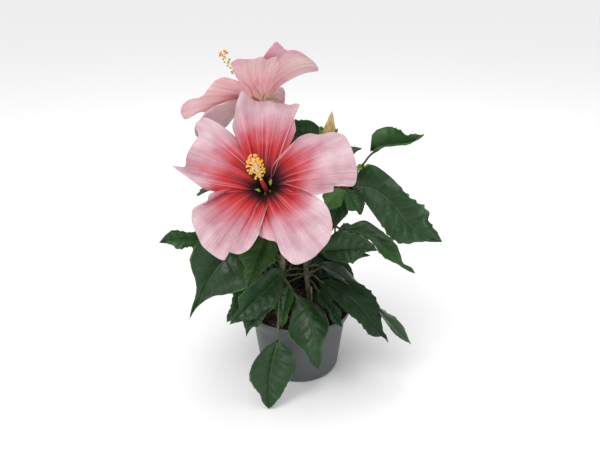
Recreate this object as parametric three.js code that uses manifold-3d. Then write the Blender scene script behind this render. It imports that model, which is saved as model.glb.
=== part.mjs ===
import * as THREE from 'three';
import Module from 'manifold-3d';
import { mergeVertices } from 'three/addons/utils/BufferGeometryUtils.js';

// A hibiscus shrub with two open blooms and a bud, in its plastic pot.
// Sizes are in millimetres and angles in degrees. X runs to the viewer's right, Y away and Z up,
// from the centre of the pot's flat underside. A turn is taken round Z from +X, so 90 is the back.

const GAP = 0.3;
// Details smaller than this are smoothed away where leaves or petals have been joined.
const SMOOTHING = 0.12;

const POT = {
  rimRadius: 52.5, height: 69, lip: 4.5, underLipRadius: 47.8, underLip: 60, heelRadius: 40.6,
  heel: 5, footRadius: 37, wall: 1.2, floor: 1.6, sides: 32, holes: 6, holeRadius: 3, holeRing: 25,
};

const SOIL = { top: 64, mound: 1.6, lump: 0.9, sides: 32, rings: [9, 18, 27, 36, 44], foot: 8 };
const GROUND = SOIL.top + SOIL.mound + GAP;

// Each limb runs through a few places, and tapers from its first radius to its last.
// One that bears a bloom ends under the bloom's calyx and runs in line with it there.
const LIMBS = {
  trunk_left: {
    path: [[-12, 2, GROUND], [-14, -1, 87], [-17, -8, 107], [-16, -5, 127], [-19, 1, 153], [-21, 5, 175]],
    radii: [3.1, 1.9], flare: 1.5, sides: 8, steps: 14,
  },
  trunk_right: {
    path: [[11, 2, GROUND], [9, 1, 88], [7, 5, 113], [14, 9, 133], [24, 10, 145]],
    radii: [2.5, 1.8], flare: 1.3, sides: 8, steps: 11,
  },
  bough_right: {
    path: [[24.3, 10, 145.3], [36, 9, 153], [46, 10, 170], [42, 12, 193]],
    radii: [1.7, 1.4], from: 'trunk_right', sides: 7, steps: 9,
  },
  bough_shoot: {
    path: [[42.7, 12, 189], [49, 12, 199], [55, 10, 207], [61, 7, 216]],
    radii: [1.2, 0.9], from: 'bough_right', sides: 6, steps: 5,
  },
  bough_bud: {
    path: [[42, 12, 193.3], [40, 13, 206], [36, 9, 223], [30, 3, 238]],
    radii: [1.3, 1], from: 'bough_right', sides: 6, steps: 8,
  },
  bough_back_bloom: {
    path: [[-21, 5, 175.3], [-22, 8, 199], [-22, 10, 222]], bloom: 'bloom_back',
    radii: [1.8, 1.3], from: 'trunk_left', sides: 7, steps: 9,
  },
  bough_front_bloom: {
    path: [[-20.5, 4, 169], [-21.5, -6, 173]], bloom: 'bloom_front',
    radii: [1.5, 1.3], from: 'trunk_left', sides: 7, steps: 6,
  },
};

// A leaf hangs from a stalk that leaves its limb at a height, with a turn, a rise and a length.
// Its blade has a turn, a pitch at the base, a droop towards the tip and a roll round its midrib.
const leaf = (height, stalk, blade, size, fold = 18, taper = 1.05) => {
  return { height, stalk, blade, size, fold, taper };
};

const MASSES = {
  leaves_low_left: { limb: 'trunk_left', side: -115, span: [95, 125], leaves: [
    leaf(109, [-57, -22, 28], [-62, -29, 40, 10], [76, 50], 26),
    leaf(102, [-92, -35.5, 64], [-116, -62, 20, -48], [66, 49]),
    leaf(122, [-51, -70, 12], [-144, -13, 35, -68], [74, 49], 22),
    leaf(102, [172, -25, 14], [-156, -25, 20, -65], [55, 36]),
    leaf(101, [-115, -32, 21], [-138, -24, 30, -20], [44, 32], 22),
    leaf(106, [-52, -12, 15], [-108, -42, 30, 25], [42, 28]),
  ] },
  leaves_left: { limb: 'trunk_left', side: 180, span: [137, 163], leaves: [
    leaf(156, [-138, -5, 27], [-147, -23, 42, -70], [101, 62], 22, 1.4),
    leaf(153, [-124, -6, 15], [-114, -21, 45, 0], [58, 42]),
    leaf(139, [169, -4, 60], [-162, 18, 30, -72], [60, 32], 24, 1.3),
  ] },
  leaves_low_right: { limb: 'trunk_right', side: -45, span: [93, 115], leaves: [
    leaf(110, [-24, 14, 15], [-15, -27, 24, -10], [121, 42], 12, 1.45),
    leaf(102, [-58, 2, 21], [-27, 4, 75, 12], [94, 46], 8, 0.95),
    leaf(96, [-72, 0, 22], [-48, -21, 30, 45], [45, 27]),
  ] },
  leaves_right: { limb: 'bough_right', side: -70, span: [149, 169], leaves: [
    leaf(153, [-40, -24, 10], [-17, 7, 64, 12], [84, 46], 12),
    leaf(150, [-112, -12, 36], [-17, 22, 30, 50], [56, 36], 22),
    leaf(152, [-92, -40, 20], [-21, 3, 20, 60], [36, 22], 22),
  ] },
  leaves_upper_right: { limb: 'bough_right', side: -60, span: [171, 192], leaves: [
    leaf(190, [-64, 22, 21], [-25, -7, 36, 68], [96, 47], 12, 0.8),
    leaf(186, [-66, 26, 14], [-37, -21, 30, 55], [32, 24]),
    leaf(178, [-112, 16, 8], [-148, 27, 20, 60], [28, 17]),
    leaf(184, [-128, -25, 6], [-118, -60, 20, -30], [30, 24]),
  ] },
  leaves_shoot: { limb: 'bough_shoot', side: 40, span: [216.3, 221], leaves: [
    leaf(217, [-30, 62, 15], [-21, 9, -25, 30], [52, 40], 50, 1.7),
    leaf(218, [200, 35, 4], [-165, 10, 20, 20], [12, 8]),
    leaf(220, [-40, 35, 4], [-10, 8, 30, 10], [13, 8]),
  ] },
  leaves_behind_bud: { limb: 'bough_bud', side: 70, span: [203, 225], leaves: [
    leaf(217, [138, 40, 26], [171, 19, 20, -70], [52, 34], 26),
    leaf(206, [96, 30, 18], [-10, 15, 10, -40], [26, 15]),
  ] },
};

// A grown mass holds leaves that a seeded rule fans out about its side of the limb.
const GROWTH = {
  stalk: [22, 40], rise: [5, 30], blade: [58, 84], slimness: [0.58, 0.7], pitch: [0, 20], droop: [30, 55],
  roll: 25, twist: 40, elbow: 5.5, tries: 20,
};
const LOW = { rise: [-15, 8], pitch: [-12, 8], droop: [15, 35] };
const GROWN = {
  leaves_back_low: { limb: 'trunk_left', side: 95, span: [91, 125], count: 5, fan: 130, seed: 113, ...LOW },
  leaves_back_left: { limb: 'trunk_left', side: 108, span: [137, 169], count: 5, fan: 100, seed: 41 },
  leaves_back_right: { limb: 'trunk_right', side: 70, span: [87, 127], count: 5, fan: 90, seed: 101, ...LOW },
  leaves_back_bough: { limb: 'bough_right', side: 95, span: [153, 189], count: 5, fan: 100, seed: 41 },
  leaves_back_top: { limb: 'bough_back_bloom', side: 85, span: [187, 227], count: 4, fan: 110, seed: 53 },
};

const LEAF = { thinnest: 0.8, thickness: 0.0125, shoulder: 0.55, base: 0.7, tip: 0.4, root: 4 };
const STALK = { radius: 1, end: 0.3, bow: 0.1, sides: 4, spur: 1.2, clear: 0.4 };

// A bloom's eye is the centre of its mouth. Its petals leave a tube below the eye, open wide and
// curl back at the rim. A petal's turn runs clockwise from the bloom's own top, as seen from the front.
const petal = (turn, length, width, shape = {}) => ({ turn, length, width, ...shape });
const BLOOMS = {
  bloom_front: {
    eye: [-31.5, -48, 216.5], facing: [-0.18, -0.67, 0.71], top: [0, 0, 1],
    petals: [
      petal(-7, 92, 68), petal(69, 93, 70), petal(138, 95, 74), petal(207, 88, 68), petal(291, 94, 74),
    ],
    sweep: [0, 0, 0],
  },
  bloom_back: {
    eye: [-40.4, 42, 277], facing: [-0.34, 0.58, 0.74], top: [0, -1, 0],
    petals: [
      petal(344, 72, 52, { flat: 14, back: -20 }),
      petal(293, 80, 52, { flat: 16, back: -55, lift: 7, rim: 0.6 }),
      petal(215, 38, 30, { flat: 0, back: -120 }),
      petal(130, 62, 50, { flat: 8 }),
      petal(80, 84, 56, { flat: 16, lift: -13, rim: 0.62 }),
    ],
    sweep: [-15, 0, -7], lobe: [5, 3],
  },
};
const PETAL = {
  thickness: 1, root: 3, depth: -20, start: 72, flat: 12, back: -12, opening: 35, lift: 5, rim: 0.22,
  claw: 0.12, ruffle: 1.6, rows: 8, columns: 5,
};
const NECK = 12;
const CALYX = { base: -34, seat: -22, neck: 1.6, radius: 6.2, lobes: 5, lobe: [8.6, 8], sides: 20 };
const COLUMN = {
  foot: -19.6, length: 67.6, radii: [2.2, 1.1], stamensFrom: 0.42, stamens: 10, stamen: 6, anther: 1.3, pads: 5,
  pad: 1.7, style: 5,
};
const BUD = {
  base: [29.9, 2.8, 238.4], lean: [0.02, -0.1, 1], length: 25, radius: 5.8,
  cup: { base: 0, seat: 5, neck: 1.6, lobes: 5, lobe: [1.5, 4], sides: 15 },
};

const COLOURS = {
  pot: ['#4a4f52', 0.45], soil: ['#1f1815', 0.95], trunk: ['#554c3a', 0.8], bough: ['#4a3f36', 0.75],
  foliage: ['#2f4a2c', 0.45], young: ['#6f8f3a', 0.5], petal: ['#e8a9b4', 0.6], petalPeach: ['#f0c2b4', 0.6],
  column: ['#e6b96a', 0.7], calyx: ['#5f7a3a', 0.6], bud: ['#b39a62', 0.6],
};

const wasm = await Module();
wasm.setup();

const vector = (place) => new THREE.Vector3(...place);
const radians = THREE.MathUtils.degToRad;
const mix = THREE.MathUtils.lerp;

function heading(turn, rise) {
  const [a, e] = [radians(turn), radians(rise)];
  return new THREE.Vector3(Math.cos(a) * Math.cos(e), Math.sin(a) * Math.cos(e), Math.sin(e));
}

// A repeatable run of numbers between 0 and 1.
function dice(seed) {
  let state = seed;
  return () => {
    state = (state * 16807) % 2147483647;
    return state / 2147483647;
  };
}

// Turns a closed geometry into a solid whose faces point out.
function solid(geometry) {
  geometry.deleteAttribute('normal');
  geometry.deleteAttribute('uv');
  const merged = mergeVertices(geometry, 1e-4);
  const mesh = new wasm.Mesh({
    numProp: 3,
    vertProperties: new Float32Array(merged.attributes.position.array),
    triVerts: new Uint32Array(merged.index.array),
  });
  return new wasm.Manifold(mesh);
}

function geometryOf(points, faces) {
  const geometry = new THREE.BufferGeometry();
  const numbers = points.flatMap((p) => [p.x, p.y, p.z]);
  geometry.setAttribute('position', new THREE.Float32BufferAttribute(numbers, 3));
  geometry.setIndex(faces);
  return geometry;
}

// Joins rings of equal length into a closed skin, with a flat cap at each end.
function skin(rings) {
  const count = rings[0].length;
  const faces = [];
  for (let i = 0; i + 1 < rings.length; i += 1) {
    for (let j = 0; j < count; j += 1) {
      const [a, b] = [i * count + j, i * count + ((j + 1) % count)];
      faces.push(a, b, b + count, a, b + count, a + count);
    }
  }
  const last = (rings.length - 1) * count;
  for (let j = 1; j + 1 < count; j += 1) {
    faces.push(0, j + 1, j, last, last + j, last + j + 1);
  }
  return geometryOf(rings.flat(), faces);
}

// Sweeps a round section of changing radius along a curve.
function sweep(curve, radiusAt, sides, steps) {
  const rings = [];
  const side = new THREE.Vector3(1, 0, 0);
  for (let i = 0; i <= steps; i += 1) {
    const t = i / steps;
    const tangent = curve.getTangent(t);
    side.addScaledVector(tangent, -side.dot(tangent)).normalize();
    const over = new THREE.Vector3().crossVectors(tangent, side);
    const centre = curve.getPoint(t);
    const ring = [];
    for (let j = 0; j < sides; j += 1) {
      const a = (2 * Math.PI * j) / sides;
      const spoke = side.clone().multiplyScalar(Math.cos(a)).addScaledVector(over, Math.sin(a));
      ring.push(centre.clone().addScaledVector(spoke, radiusAt(t)));
    }
    rings.push(ring);
  }
  return rings;
}

const curveOf = (places) => new THREE.CatmullRomCurve3(places, false, 'catmullrom', 0.5);

// A thin closed blade from a surface given by at(s, t), with s from 0 to 1 and t from -1 to 1.
function slab(at, rows, columns, thickness) {
  const step = 1e-3;
  const faces = [];
  const [tops, unders] = [[], []];
  for (const s of rows) {
    for (const t of columns) {
      const along = at(Math.min(1, s + step), t).sub(at(Math.max(0, s - step), t));
      const across = at(s, Math.min(1, t + step)).sub(at(s, Math.max(-1, t - step)));
      const normal = along.cross(across).normalize().multiplyScalar(thickness / 2);
      tops.push(at(s, t).add(normal));
      unders.push(at(s, t).sub(normal));
    }
  }
  const wide = columns.length;
  const half = tops.length;
  const quad = (a, b, c, d) => faces.push(a, b, c, a, c, d);
  for (let i = 0; i + 1 < rows.length; i += 1) {
    for (let j = 0; j + 1 < wide; j += 1) {
      const a = i * wide + j;
      quad(a, a + wide, a + wide + 1, a + 1);
      quad(half + a, half + a + 1, half + a + wide + 1, half + a + wide);
    }
  }
  const rim = [];
  for (let i = 0; i < rows.length; i += 1) rim.push(i * wide);
  for (let j = 1; j < wide; j += 1) rim.push((rows.length - 1) * wide + j);
  for (let i = rows.length - 2; i >= 0; i -= 1) rim.push(i * wide + wide - 1);
  for (let j = wide - 2; j > 0; j -= 1) rim.push(j);
  rim.forEach((a, k) => {
    const b = rim[(k + 1) % rim.length];
    quad(b, a, half + a, half + b);
  });
  return geometryOf([...tops, ...unders], faces);
}

const evenly = (from, to, count) => Array.from({ length: count }, (_, i) => mix(from, to, i / (count - 1)));

// The pot: a turned shell with a plain lip, a heel and round drain holes.
function pot() {
  const p = POT;
  const outer = [
    [0, 0], [p.footRadius, 0], [p.heelRadius, p.heel], [p.underLipRadius, p.underLip],
    [p.rimRadius, p.height - p.lip], [p.rimRadius, p.height],
  ];
  const inner = [
    [p.rimRadius - p.wall, p.height], [p.rimRadius - p.wall, p.height - p.lip + 0.4],
    [p.underLipRadius - p.wall, p.underLip + 0.4], [p.heelRadius - p.wall, p.heel + 0.4],
    [p.footRadius - p.wall, p.floor], [0, p.floor],
  ];
  const profile = [...outer, ...inner].map(([r, z]) => new THREE.Vector2(r, z));
  let shell = solid(new THREE.LatheGeometry(profile, p.sides).rotateX(Math.PI / 2));
  for (let k = 0; k < p.holes; k += 1) {
    const a = (2 * Math.PI * k) / p.holes;
    const hole = new THREE.CylinderGeometry(p.holeRadius, p.holeRadius, 3 * p.floor, 12).rotateX(Math.PI / 2);
    hole.translate(p.holeRing * Math.cos(a), p.holeRing * Math.sin(a), 0);
    shell = shell.subtract(solid(hole));
  }
  return shell;
}

function potInnerRadius(z) {
  const p = POT;
  const climb = (z - p.heel) / (p.underLip - p.heel);
  return mix(p.heelRadius, p.underLipRadius, climb) - p.wall;
}

// Height of the soil's lumpy top, which is flat where a stem stands.
function soilTop(x, y) {
  const r = Math.hypot(x, y);
  const edge = Math.min(1, r / (POT.underLipRadius - 2));
  const lumps = Math.sin(x * 0.47 + 1.3) * Math.cos(y * 0.41) + 0.5 * Math.sin(x * 0.93 - y * 0.77);
  const trunks = [LIMBS.trunk_left, LIMBS.trunk_right];
  const feet = trunks.map(({ path: [[fx, fy]] }) => Math.hypot(x - fx, y - fy));
  const near = Math.min(...feet) / SOIL.foot;
  const rough = THREE.MathUtils.smoothstep(near, 1, 2);
  const mound = SOIL.mound * mix(1, 1 - edge ** 2, rough);
  return SOIL.top + mound + rough * (SOIL.lump * 0.6 * lumps - 0.3);
}

function soil() {
  const bottom = POT.floor + GAP;
  const wallTop = POT.underLip + 1;
  const topRadius = POT.rimRadius - POT.wall - GAP - 1.4;
  const profile = [
    [0, bottom], [POT.footRadius - POT.wall - GAP, bottom + 0.4],
    [potInnerRadius(POT.heel + 2) - GAP, POT.heel + 2], [potInnerRadius(POT.underLip) - GAP, POT.underLip],
    [topRadius - 2.2, wallTop + 1.6],
  ];
  const rings = [topRadius - 2.2, ...SOIL.rings.toReversed(), 0];
  const turned = [...profile.map(([r, z]) => new THREE.Vector2(r, z)),
    ...rings.slice(1).map((r) => new THREE.Vector2(r, SOIL.top))];
  const geometry = new THREE.LatheGeometry(turned, SOIL.sides).rotateX(Math.PI / 2);
  const place = geometry.attributes.position;
  for (let i = 0; i < place.count; i += 1) {
    if (place.getZ(i) > SOIL.top - 0.5) place.setZ(i, soilTop(place.getX(i), place.getY(i)));
  }
  return solid(geometry);
}

function limbCurve(name) {
  const { path, bloom } = LIMBS[name];
  const places = path.map(vector);
  if (bloom) {
    const { eye, out } = bloomFrame(BLOOMS[bloom]);
    for (const short of [NECK, 0]) places.push(eye.clone().addScaledVector(out, CALYX.base - GAP - short));
  }
  return curveOf(places);
}

function limbRadius(name, t) {
  const { radii, flare = 1 } = LIMBS[name];
  return mix(radii[0], radii[1], t) * (1 + (flare - 1) * Math.exp(-t * 18));
}

// One tapering limb. A trunk's foot is cut flat at the soil.
function limb(name, grow = 0) {
  const { sides, steps, flare } = LIMBS[name];
  const rings = sweep(limbCurve(name), (t) => limbRadius(name, t) + grow, sides, steps);
  if (flare) rings[0].forEach((p) => p.setZ(GROUND));
  return solid(skin(rings));
}

// The place on a limb's centre line at a height, with the limb's direction and radius there.
function limbAt(name, height) {
  const curve = limbCurve(name);
  let [low, high] = [0, 1];
  for (let i = 0; i < 30; i += 1) {
    const t = (low + high) / 2;
    if (curve.getPoint(t).z < height) low = t;
    else high = t;
  }
  return { centre: curve.getPoint(low), along: curve.getTangent(low), radius: limbRadius(name, low) };
}

// A mass has a spur beside its limb, or beyond the limb's tip, and its stalks leave the spur.
function spurAt({ limb: name, side }, height) {
  const curve = limbCurve(name);
  const tip = curve.getPoint(1);
  if (height > tip.z) {
    const onward = curve.getTangent(1);
    return tip.addScaledVector(onward, (height - tip.z) / onward.z);
  }
  const { centre, along, radius } = limbAt(name, height);
  const beside = heading(side, 0);
  beside.addScaledVector(along, -beside.dot(along)).normalize();
  return centre.addScaledVector(beside, radius + STALK.clear + STALK.spur);
}

// A blade is widest about a third of the way up, and a greater taper draws out its tip.
function leafHalf(s, b) {
  const a = LEAF.shoulder;
  const peak = (a / (a + b)) ** a * (b / (a + b)) ** b;
  return (s ** a * (1 - s) ** b) / peak;
}

// The blade's surface, from its base at the end of its stalk.
function bladeSurface(foot, { blade: [turn, pitch, droop, roll], size: [length, width], fold, taper }) {
  const [p, d, r, f] = [pitch, droop, roll, fold].map(radians);
  const ahead = heading(turn, 0);
  const left = heading(turn + 90, 0);
  return (s, t) => {
    const rise = p - d * s;
    const run = d ? (Math.sin(p) - Math.sin(rise)) / d : s * Math.cos(p);
    const climb = d ? (Math.cos(rise) - Math.cos(p)) / d : s * Math.sin(p);
    const spine = foot.clone().addScaledVector(ahead, run * length);
    spine.z += climb * length;
    const up = ahead.clone().multiplyScalar(-Math.sin(rise));
    up.z += Math.cos(rise);
    const across = left.clone().multiplyScalar(Math.cos(r)).addScaledVector(up, Math.sin(r));
    const over = up.multiplyScalar(Math.cos(r)).addScaledVector(left, -Math.sin(r));
    const half = Math.max((width / 2) * leafHalf(s, taper), mix(LEAF.base, LEAF.tip, s));
    spine.addScaledVector(across, t * half * Math.cos(f));
    return spine.addScaledVector(over, Math.abs(t) * half * Math.sin(f));
  };
}

function stalkEnds(mass, spec) {
  const start = spurAt(mass, spec.height);
  const [turn, rise, length] = spec.stalk;
  const foot = start.clone().addScaledVector(heading(turn, rise), length);
  return { start, foot, length };
}

const LEAF_ROWS = [0, 0.06, 0.18, 0.34, 0.52, 0.7, 0.86, 1];

// A blade with its stalk, whose end is sunk well into the midrib.
function leafSolids(mass, spec) {
  const { start, foot, length } = stalkEnds(mass, spec);
  const at = bladeSurface(foot, spec);
  const thickness = Math.max(LEAF.thinnest, spec.size[0] * LEAF.thickness);
  const root = Math.min(LEAF.root, spec.size[0] / 4) / spec.size[0];
  const bowed = start.clone().lerp(foot, 0.5);
  bowed.z += STALK.bow * length;
  const curve = curveOf([start, bowed, at(0, 0), at(root, 0)]);
  const thin = (t) => (t < 1 ? STALK.radius * mix(1.1, 0.85, t) : STALK.end);
  const stalk = skin(sweep(curve, thin, STALK.sides, 3));
  return [solid(stalk), solid(slab(at, LEAF_ROWS, [-1, 0, 1], thickness))];
}

function massSolid(mass, leaves) {
  const spine = curveOf(evenly(...mass.span, 4).map((height) => spurAt(mass, height)));
  const spur = skin(sweep(spine, () => STALK.spur, 5, 3));
  const whole = wasm.Manifold.union([solid(spur), ...leaves.flatMap((spec) => leafSolids(mass, spec))]);
  return whole.simplify(SMOOTHING);
}

// Places spread over a blade and its stalk, by which leaves keep clear of each other.
function leafMarks(mass, spec) {
  const { start, foot } = stalkEnds(mass, spec);
  const at = bladeSurface(foot, spec);
  const marks = evenly(0.4, 1, 4).map((k) => start.clone().lerp(foot, k));
  for (const s of evenly(0.05, 1, 10)) {
    for (const t of evenly(-1, 1, 5)) marks.push(at(s, t));
  }
  return marks;
}

// Grows the leaves of one mass by its seeded rule. A leaf with no room is left out.
function grow(mass, taken) {
  const random = dice(mass.seed);
  const rule = { ...GROWTH, ...mass };
  const between = ([low, high]) => mix(low, high, random());
  const leaves = [];
  for (let k = 0; k < mass.count; k += 1) {
    for (let go = 0; go < GROWTH.tries; go += 1) {
      const share = (k + 0.5 + (random() - 0.5) * 0.5) / mass.count;
      const turn = mass.side + mass.fan * (share - 0.5);
      const length = between(rule.blade);
      const spec = leaf(
        mix(mass.span[0] + 1, mass.span[1] - 1, (k * 0.618 + 0.3 + random() * 0.2) % 1),
        [turn, between(rule.rise), between(rule.stalk)],
        [turn + (random() - 0.5) * rule.twist, between(rule.pitch), between(rule.droop),
          (random() - 0.5) * 2 * rule.roll],
        [length, length * between(rule.slimness)],
      );
      const marks = leafMarks(mass, spec);
      if (marks.every((mark) => taken.every((other) => mark.distanceTo(other) > rule.elbow))) {
        leaves.push(spec);
        taken.push(...marks);
        break;
      }
    }
  }
  return leaves;
}

// A bloom's own frame: out of its mouth, up its face and to its right as seen from the front.
function bloomFrame({ eye, facing, top }) {
  const out = vector(facing).normalize();
  const up = vector(top).addScaledVector(out, -vector(top).dot(out)).normalize();
  return { eye: vector(eye), out, up, right: new THREE.Vector3().crossVectors(up, out) };
}

// Middle line of a petal: its distance from the bloom's axis and its height above the eye.
function petalLine({ length, start = PETAL.start, flat = PETAL.flat, back = PETAL.back }, s) {
  const steps = 24;
  let [r, z] = [PETAL.root, PETAL.depth];
  for (let i = 0; i < steps; i += 1) {
    const q = (s * (i + 0.5)) / steps;
    const opened = THREE.MathUtils.smoothstep(q * length, 0, PETAL.opening);
    const slope = radians(mix(start, flat, opened) + (back - flat) * q ** 3);
    r += (Math.cos(slope) * length * s) / steps;
    z += (Math.sin(slope) * length * s) / steps;
  }
  return [r, z];
}

function petalHalf(width, s) {
  const filled = Math.sin((Math.PI / 2) * Math.min(1, s / 0.8)) ** 1.3;
  const rounded = 1 - 0.1 * Math.max(0, (s - 0.8) / 0.2) ** 2;
  return (width / 2) * mix(PETAL.claw, 1, filled) * rounded;
}

// A petal wraps round the axis at its claw and spreads nearly flat further out.
function petalSurface(frame, shape, phase) {
  const turn = radians(shape.turn);
  const [c, d] = [Math.cos(turn), Math.sin(turn)];
  const outward = frame.up.clone().multiplyScalar(c).addScaledVector(frame.right, d);
  const sideways = frame.right.clone().multiplyScalar(c).addScaledVector(frame.up, -d);
  return (s, t) => {
    const short = (shape.rim ?? PETAL.rim) * THREE.MathUtils.smoothstep(s, 0, 0.6);
    const reach = s * (1 - short * Math.abs(t) ** 2.4);
    const [r, z] = petalLine(shape, reach);
    const bend = r + 400 * s * s;
    const angle = (t * petalHalf(shape.width, s)) / bend;
    const ruffle = PETAL.ruffle * s ** 3 * Math.sin(7 * t + phase) * Math.abs(t);
    return frame.eye.clone()
      .addScaledVector(outward, r - bend * (1 - Math.cos(angle)))
      .addScaledVector(sideways, bend * Math.sin(angle))
      .addScaledVector(frame.out, z + (shape.lift ?? PETAL.lift) * t * s + ruffle);
  };
}

function corolla(bloom) {
  const frame = bloomFrame(bloom);
  const rows = evenly(0, 1, PETAL.rows).map((s) => s ** 0.9);
  const columns = evenly(-1, 1, PETAL.columns);
  const petals = bloom.petals.map((shape, k) => {
    return solid(slab(petalSurface(frame, shape, k * 2.1), rows, columns, PETAL.thickness));
  });
  return wasm.Manifold.union(petals).simplify(SMOOTHING);
}

// Stands a shape that was made along +Z on a place, pointing out along a direction.
function stand(geometry, place, out) {
  const turned = new THREE.Quaternion().setFromUnitVectors(new THREE.Vector3(0, 0, 1), out);
  return geometry.applyQuaternion(turned).translate(place.x, place.y, place.z);
}

function turnedSolid(profile, sides, place, out) {
  const geometry = new THREE.LatheGeometry(profile.map(([r, z]) => new THREE.Vector2(r, z)), sides);
  return solid(stand(geometry.rotateX(Math.PI / 2), place, out));
}

// A green cup on a stalk's end, whose rim draws out into pointed lobes.
function lobedCup(place, out, up, right, c) {
  const ring = (r, z, spread, climb) => Array.from({ length: c.sides }, (_, j) => {
    const a = c.turn - (2 * Math.PI * j) / c.sides;
    const lobe = Math.abs(((j * c.lobes) / c.sides) % 1 - 0.5) * 2;
    const reach = r + spread * lobe;
    return place.clone()
      .addScaledVector(up, reach * Math.cos(a))
      .addScaledVector(right, reach * Math.sin(a))
      .addScaledVector(out, z + climb * lobe);
  });
  const [spread, climb] = c.lobe;
  const rings = [
    ring(c.neck, c.base, 0, 0), ring(c.radius, c.base + 6, 0, 0), ring(c.radius + 0.8, c.seat + 2, 0, 0),
    ring(c.radius + 1.6, c.seat + 5, spread, climb), ring(c.radius + 0.8, c.seat + 5.8, spread, climb),
    ring(c.radius - 0.2, c.seat + 2, 0, 0), ring(c.radius - 1, c.seat, 0, 0),
  ];
  return solid(skin(rings));
}

function calyx(bloom) {
  const { eye, out, up, right } = bloomFrame(bloom);
  const turn = radians(bloom.petals[0].turn + 36);
  const { lobe = CALYX.lobe } = bloom;
  return lobedCup(eye, out, up, right, { ...CALYX, lobe, turn });
}

function columnCurve(bloom) {
  const frame = bloomFrame(bloom);
  const c = COLUMN;
  const foot = frame.eye.clone().addScaledVector(frame.out, c.foot);
  const middle = foot.clone().addScaledVector(frame.out, c.length * 0.5);
  const tip = foot.clone().addScaledVector(frame.out, c.length).add(vector(bloom.sweep));
  return curveOf([foot, middle, tip]);
}

// The bloom's column, with stamens all round its outer part and five pads at its tip.
function column(bloom) {
  const c = COLUMN;
  const curve = columnCurve(bloom);
  const pieces = [solid(skin(sweep(curve, (t) => mix(...c.radii, t), 8, 8)))];
  const { out, up, right } = bloomFrame(bloom);
  const spoke = (angle) => up.clone().multiplyScalar(Math.cos(angle)).addScaledVector(right, Math.sin(angle));
  for (let k = 0; k < c.stamens; k += 1) {
    const share = k / (c.stamens - 1);
    const root = curve.getPoint(mix(c.stamensFrom, 0.92, share));
    const arm = spoke(k * 2.4).addScaledVector(out, 0.35).normalize();
    const tip = root.clone().addScaledVector(arm, c.stamen * mix(1, 0.8, share));
    pieces.push(solid(skin(sweep(curveOf([root, tip]), (t) => mix(0.4, c.anther, t ** 3), 3, 2))));
  }
  const end = curve.getPoint(0.97);
  for (let k = 0; k < c.pads; k += 1) {
    const arm = spoke((2 * Math.PI * k) / c.pads + 0.4).addScaledVector(out, 0.9).normalize();
    const tip = end.clone().addScaledVector(arm, c.style);
    pieces.push(solid(skin(sweep(curveOf([end, tip]), (t) => mix(0.5, c.pad, t ** 3), 5, 2))));
  }
  return wasm.Manifold.union(pieces);
}

// The furled bud is a twisted cone of petals, standing in a green cup with narrow bracts.
function budPetals() {
  const { base, lean, length, radius, cup } = BUD;
  const out = vector(lean).normalize();
  const foot = vector(base).addScaledVector(out, cup.seat + 2 * GAP);
  const profile = [[0, 0], [radius - 2, 0], [radius - 1.4, 2], [radius, 6], [radius * 0.75, length * 0.55],
    [radius * 0.3, length * 0.85], [0, length]];
  return turnedSolid(profile, 14, foot, out);
}

function budCup() {
  const { base, lean, radius, cup } = BUD;
  const out = vector(lean).normalize();
  const up = new THREE.Vector3(0, 1, 0).addScaledVector(out, -out.y).normalize();
  const right = new THREE.Vector3().crossVectors(up, out);
  const foot = vector(base).addScaledVector(out, GAP);
  return lobedCup(foot, out, up, right, { ...cup, radius: radius + 0.2, turn: 0 });
}

const plant = new THREE.Group();

function add(name, shape, [colour, roughness]) {
  const { vertProperties, triVerts } = shape.getMesh();
  const geometry = new THREE.BufferGeometry();
  geometry.setAttribute('position', new THREE.Float32BufferAttribute(vertProperties, 3));
  geometry.setIndex(Array.from(triVerts));
  geometry.computeVertexNormals();
  const mesh = new THREE.Mesh(geometry, new THREE.MeshStandardMaterial({ color: colour, roughness }));
  mesh.name = name;
  plant.add(mesh);
}

add('pot', pot(), COLOURS.pot);
add('soil', soil(), COLOURS.soil);

for (const [name, { from }] of Object.entries(LIMBS)) {
  const whole = limb(name);
  add(name, from ? whole.subtract(limb(from, GAP)) : whole, from ? COLOURS.bough : COLOURS.trunk);
}

const taken = [];
for (const mass of Object.values(MASSES)) {
  for (const spec of mass.leaves) taken.push(...leafMarks(mass, spec));
}
for (const bloom of Object.values(BLOOMS)) {
  const frame = bloomFrame(bloom);
  bloom.petals.forEach((shape, k) => {
    const at = petalSurface(frame, shape, k * 2.1);
    for (const s of evenly(0, 1, 12)) {
      for (const t of evenly(-1, 1, 7)) taken.push(at(s, t));
    }
  });
}
for (const name of Object.keys(LIMBS)) {
  for (const t of evenly(0, 1, 24)) taken.push(limbCurve(name).getPoint(t));
}

for (const [name, mass] of Object.entries(MASSES)) {
  add(name, massSolid(mass, mass.leaves), name === 'leaves_shoot' ? COLOURS.young : COLOURS.foliage);
}
for (const [name, mass] of Object.entries(GROWN)) {
  add(name, massSolid(mass, grow(mass, taken)), COLOURS.foliage);
}

for (const [name, bloom] of Object.entries(BLOOMS)) {
  add(`${name}_petals`, corolla(bloom), name === 'bloom_front' ? COLOURS.petal : COLOURS.petalPeach);
  add(`${name}_column`, column(bloom), COLOURS.column);
  add(`${name}_calyx`, calyx(bloom), COLOURS.calyx);
}
add('bud_petals', budPetals(), COLOURS.bud);
add('bud_cup', budCup(), COLOURS.calyx);

export default plant;
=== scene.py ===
"""A hibiscus shrub with two open blooms and a bud, dressed on the packed model of the plant and its pot.

Lengths are millimetres and angles degrees until a mesh is made, which is in metres. X runs to the
viewer's right, Y away and Z up, from the centre of the pot's underside.
"""
import math

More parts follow.
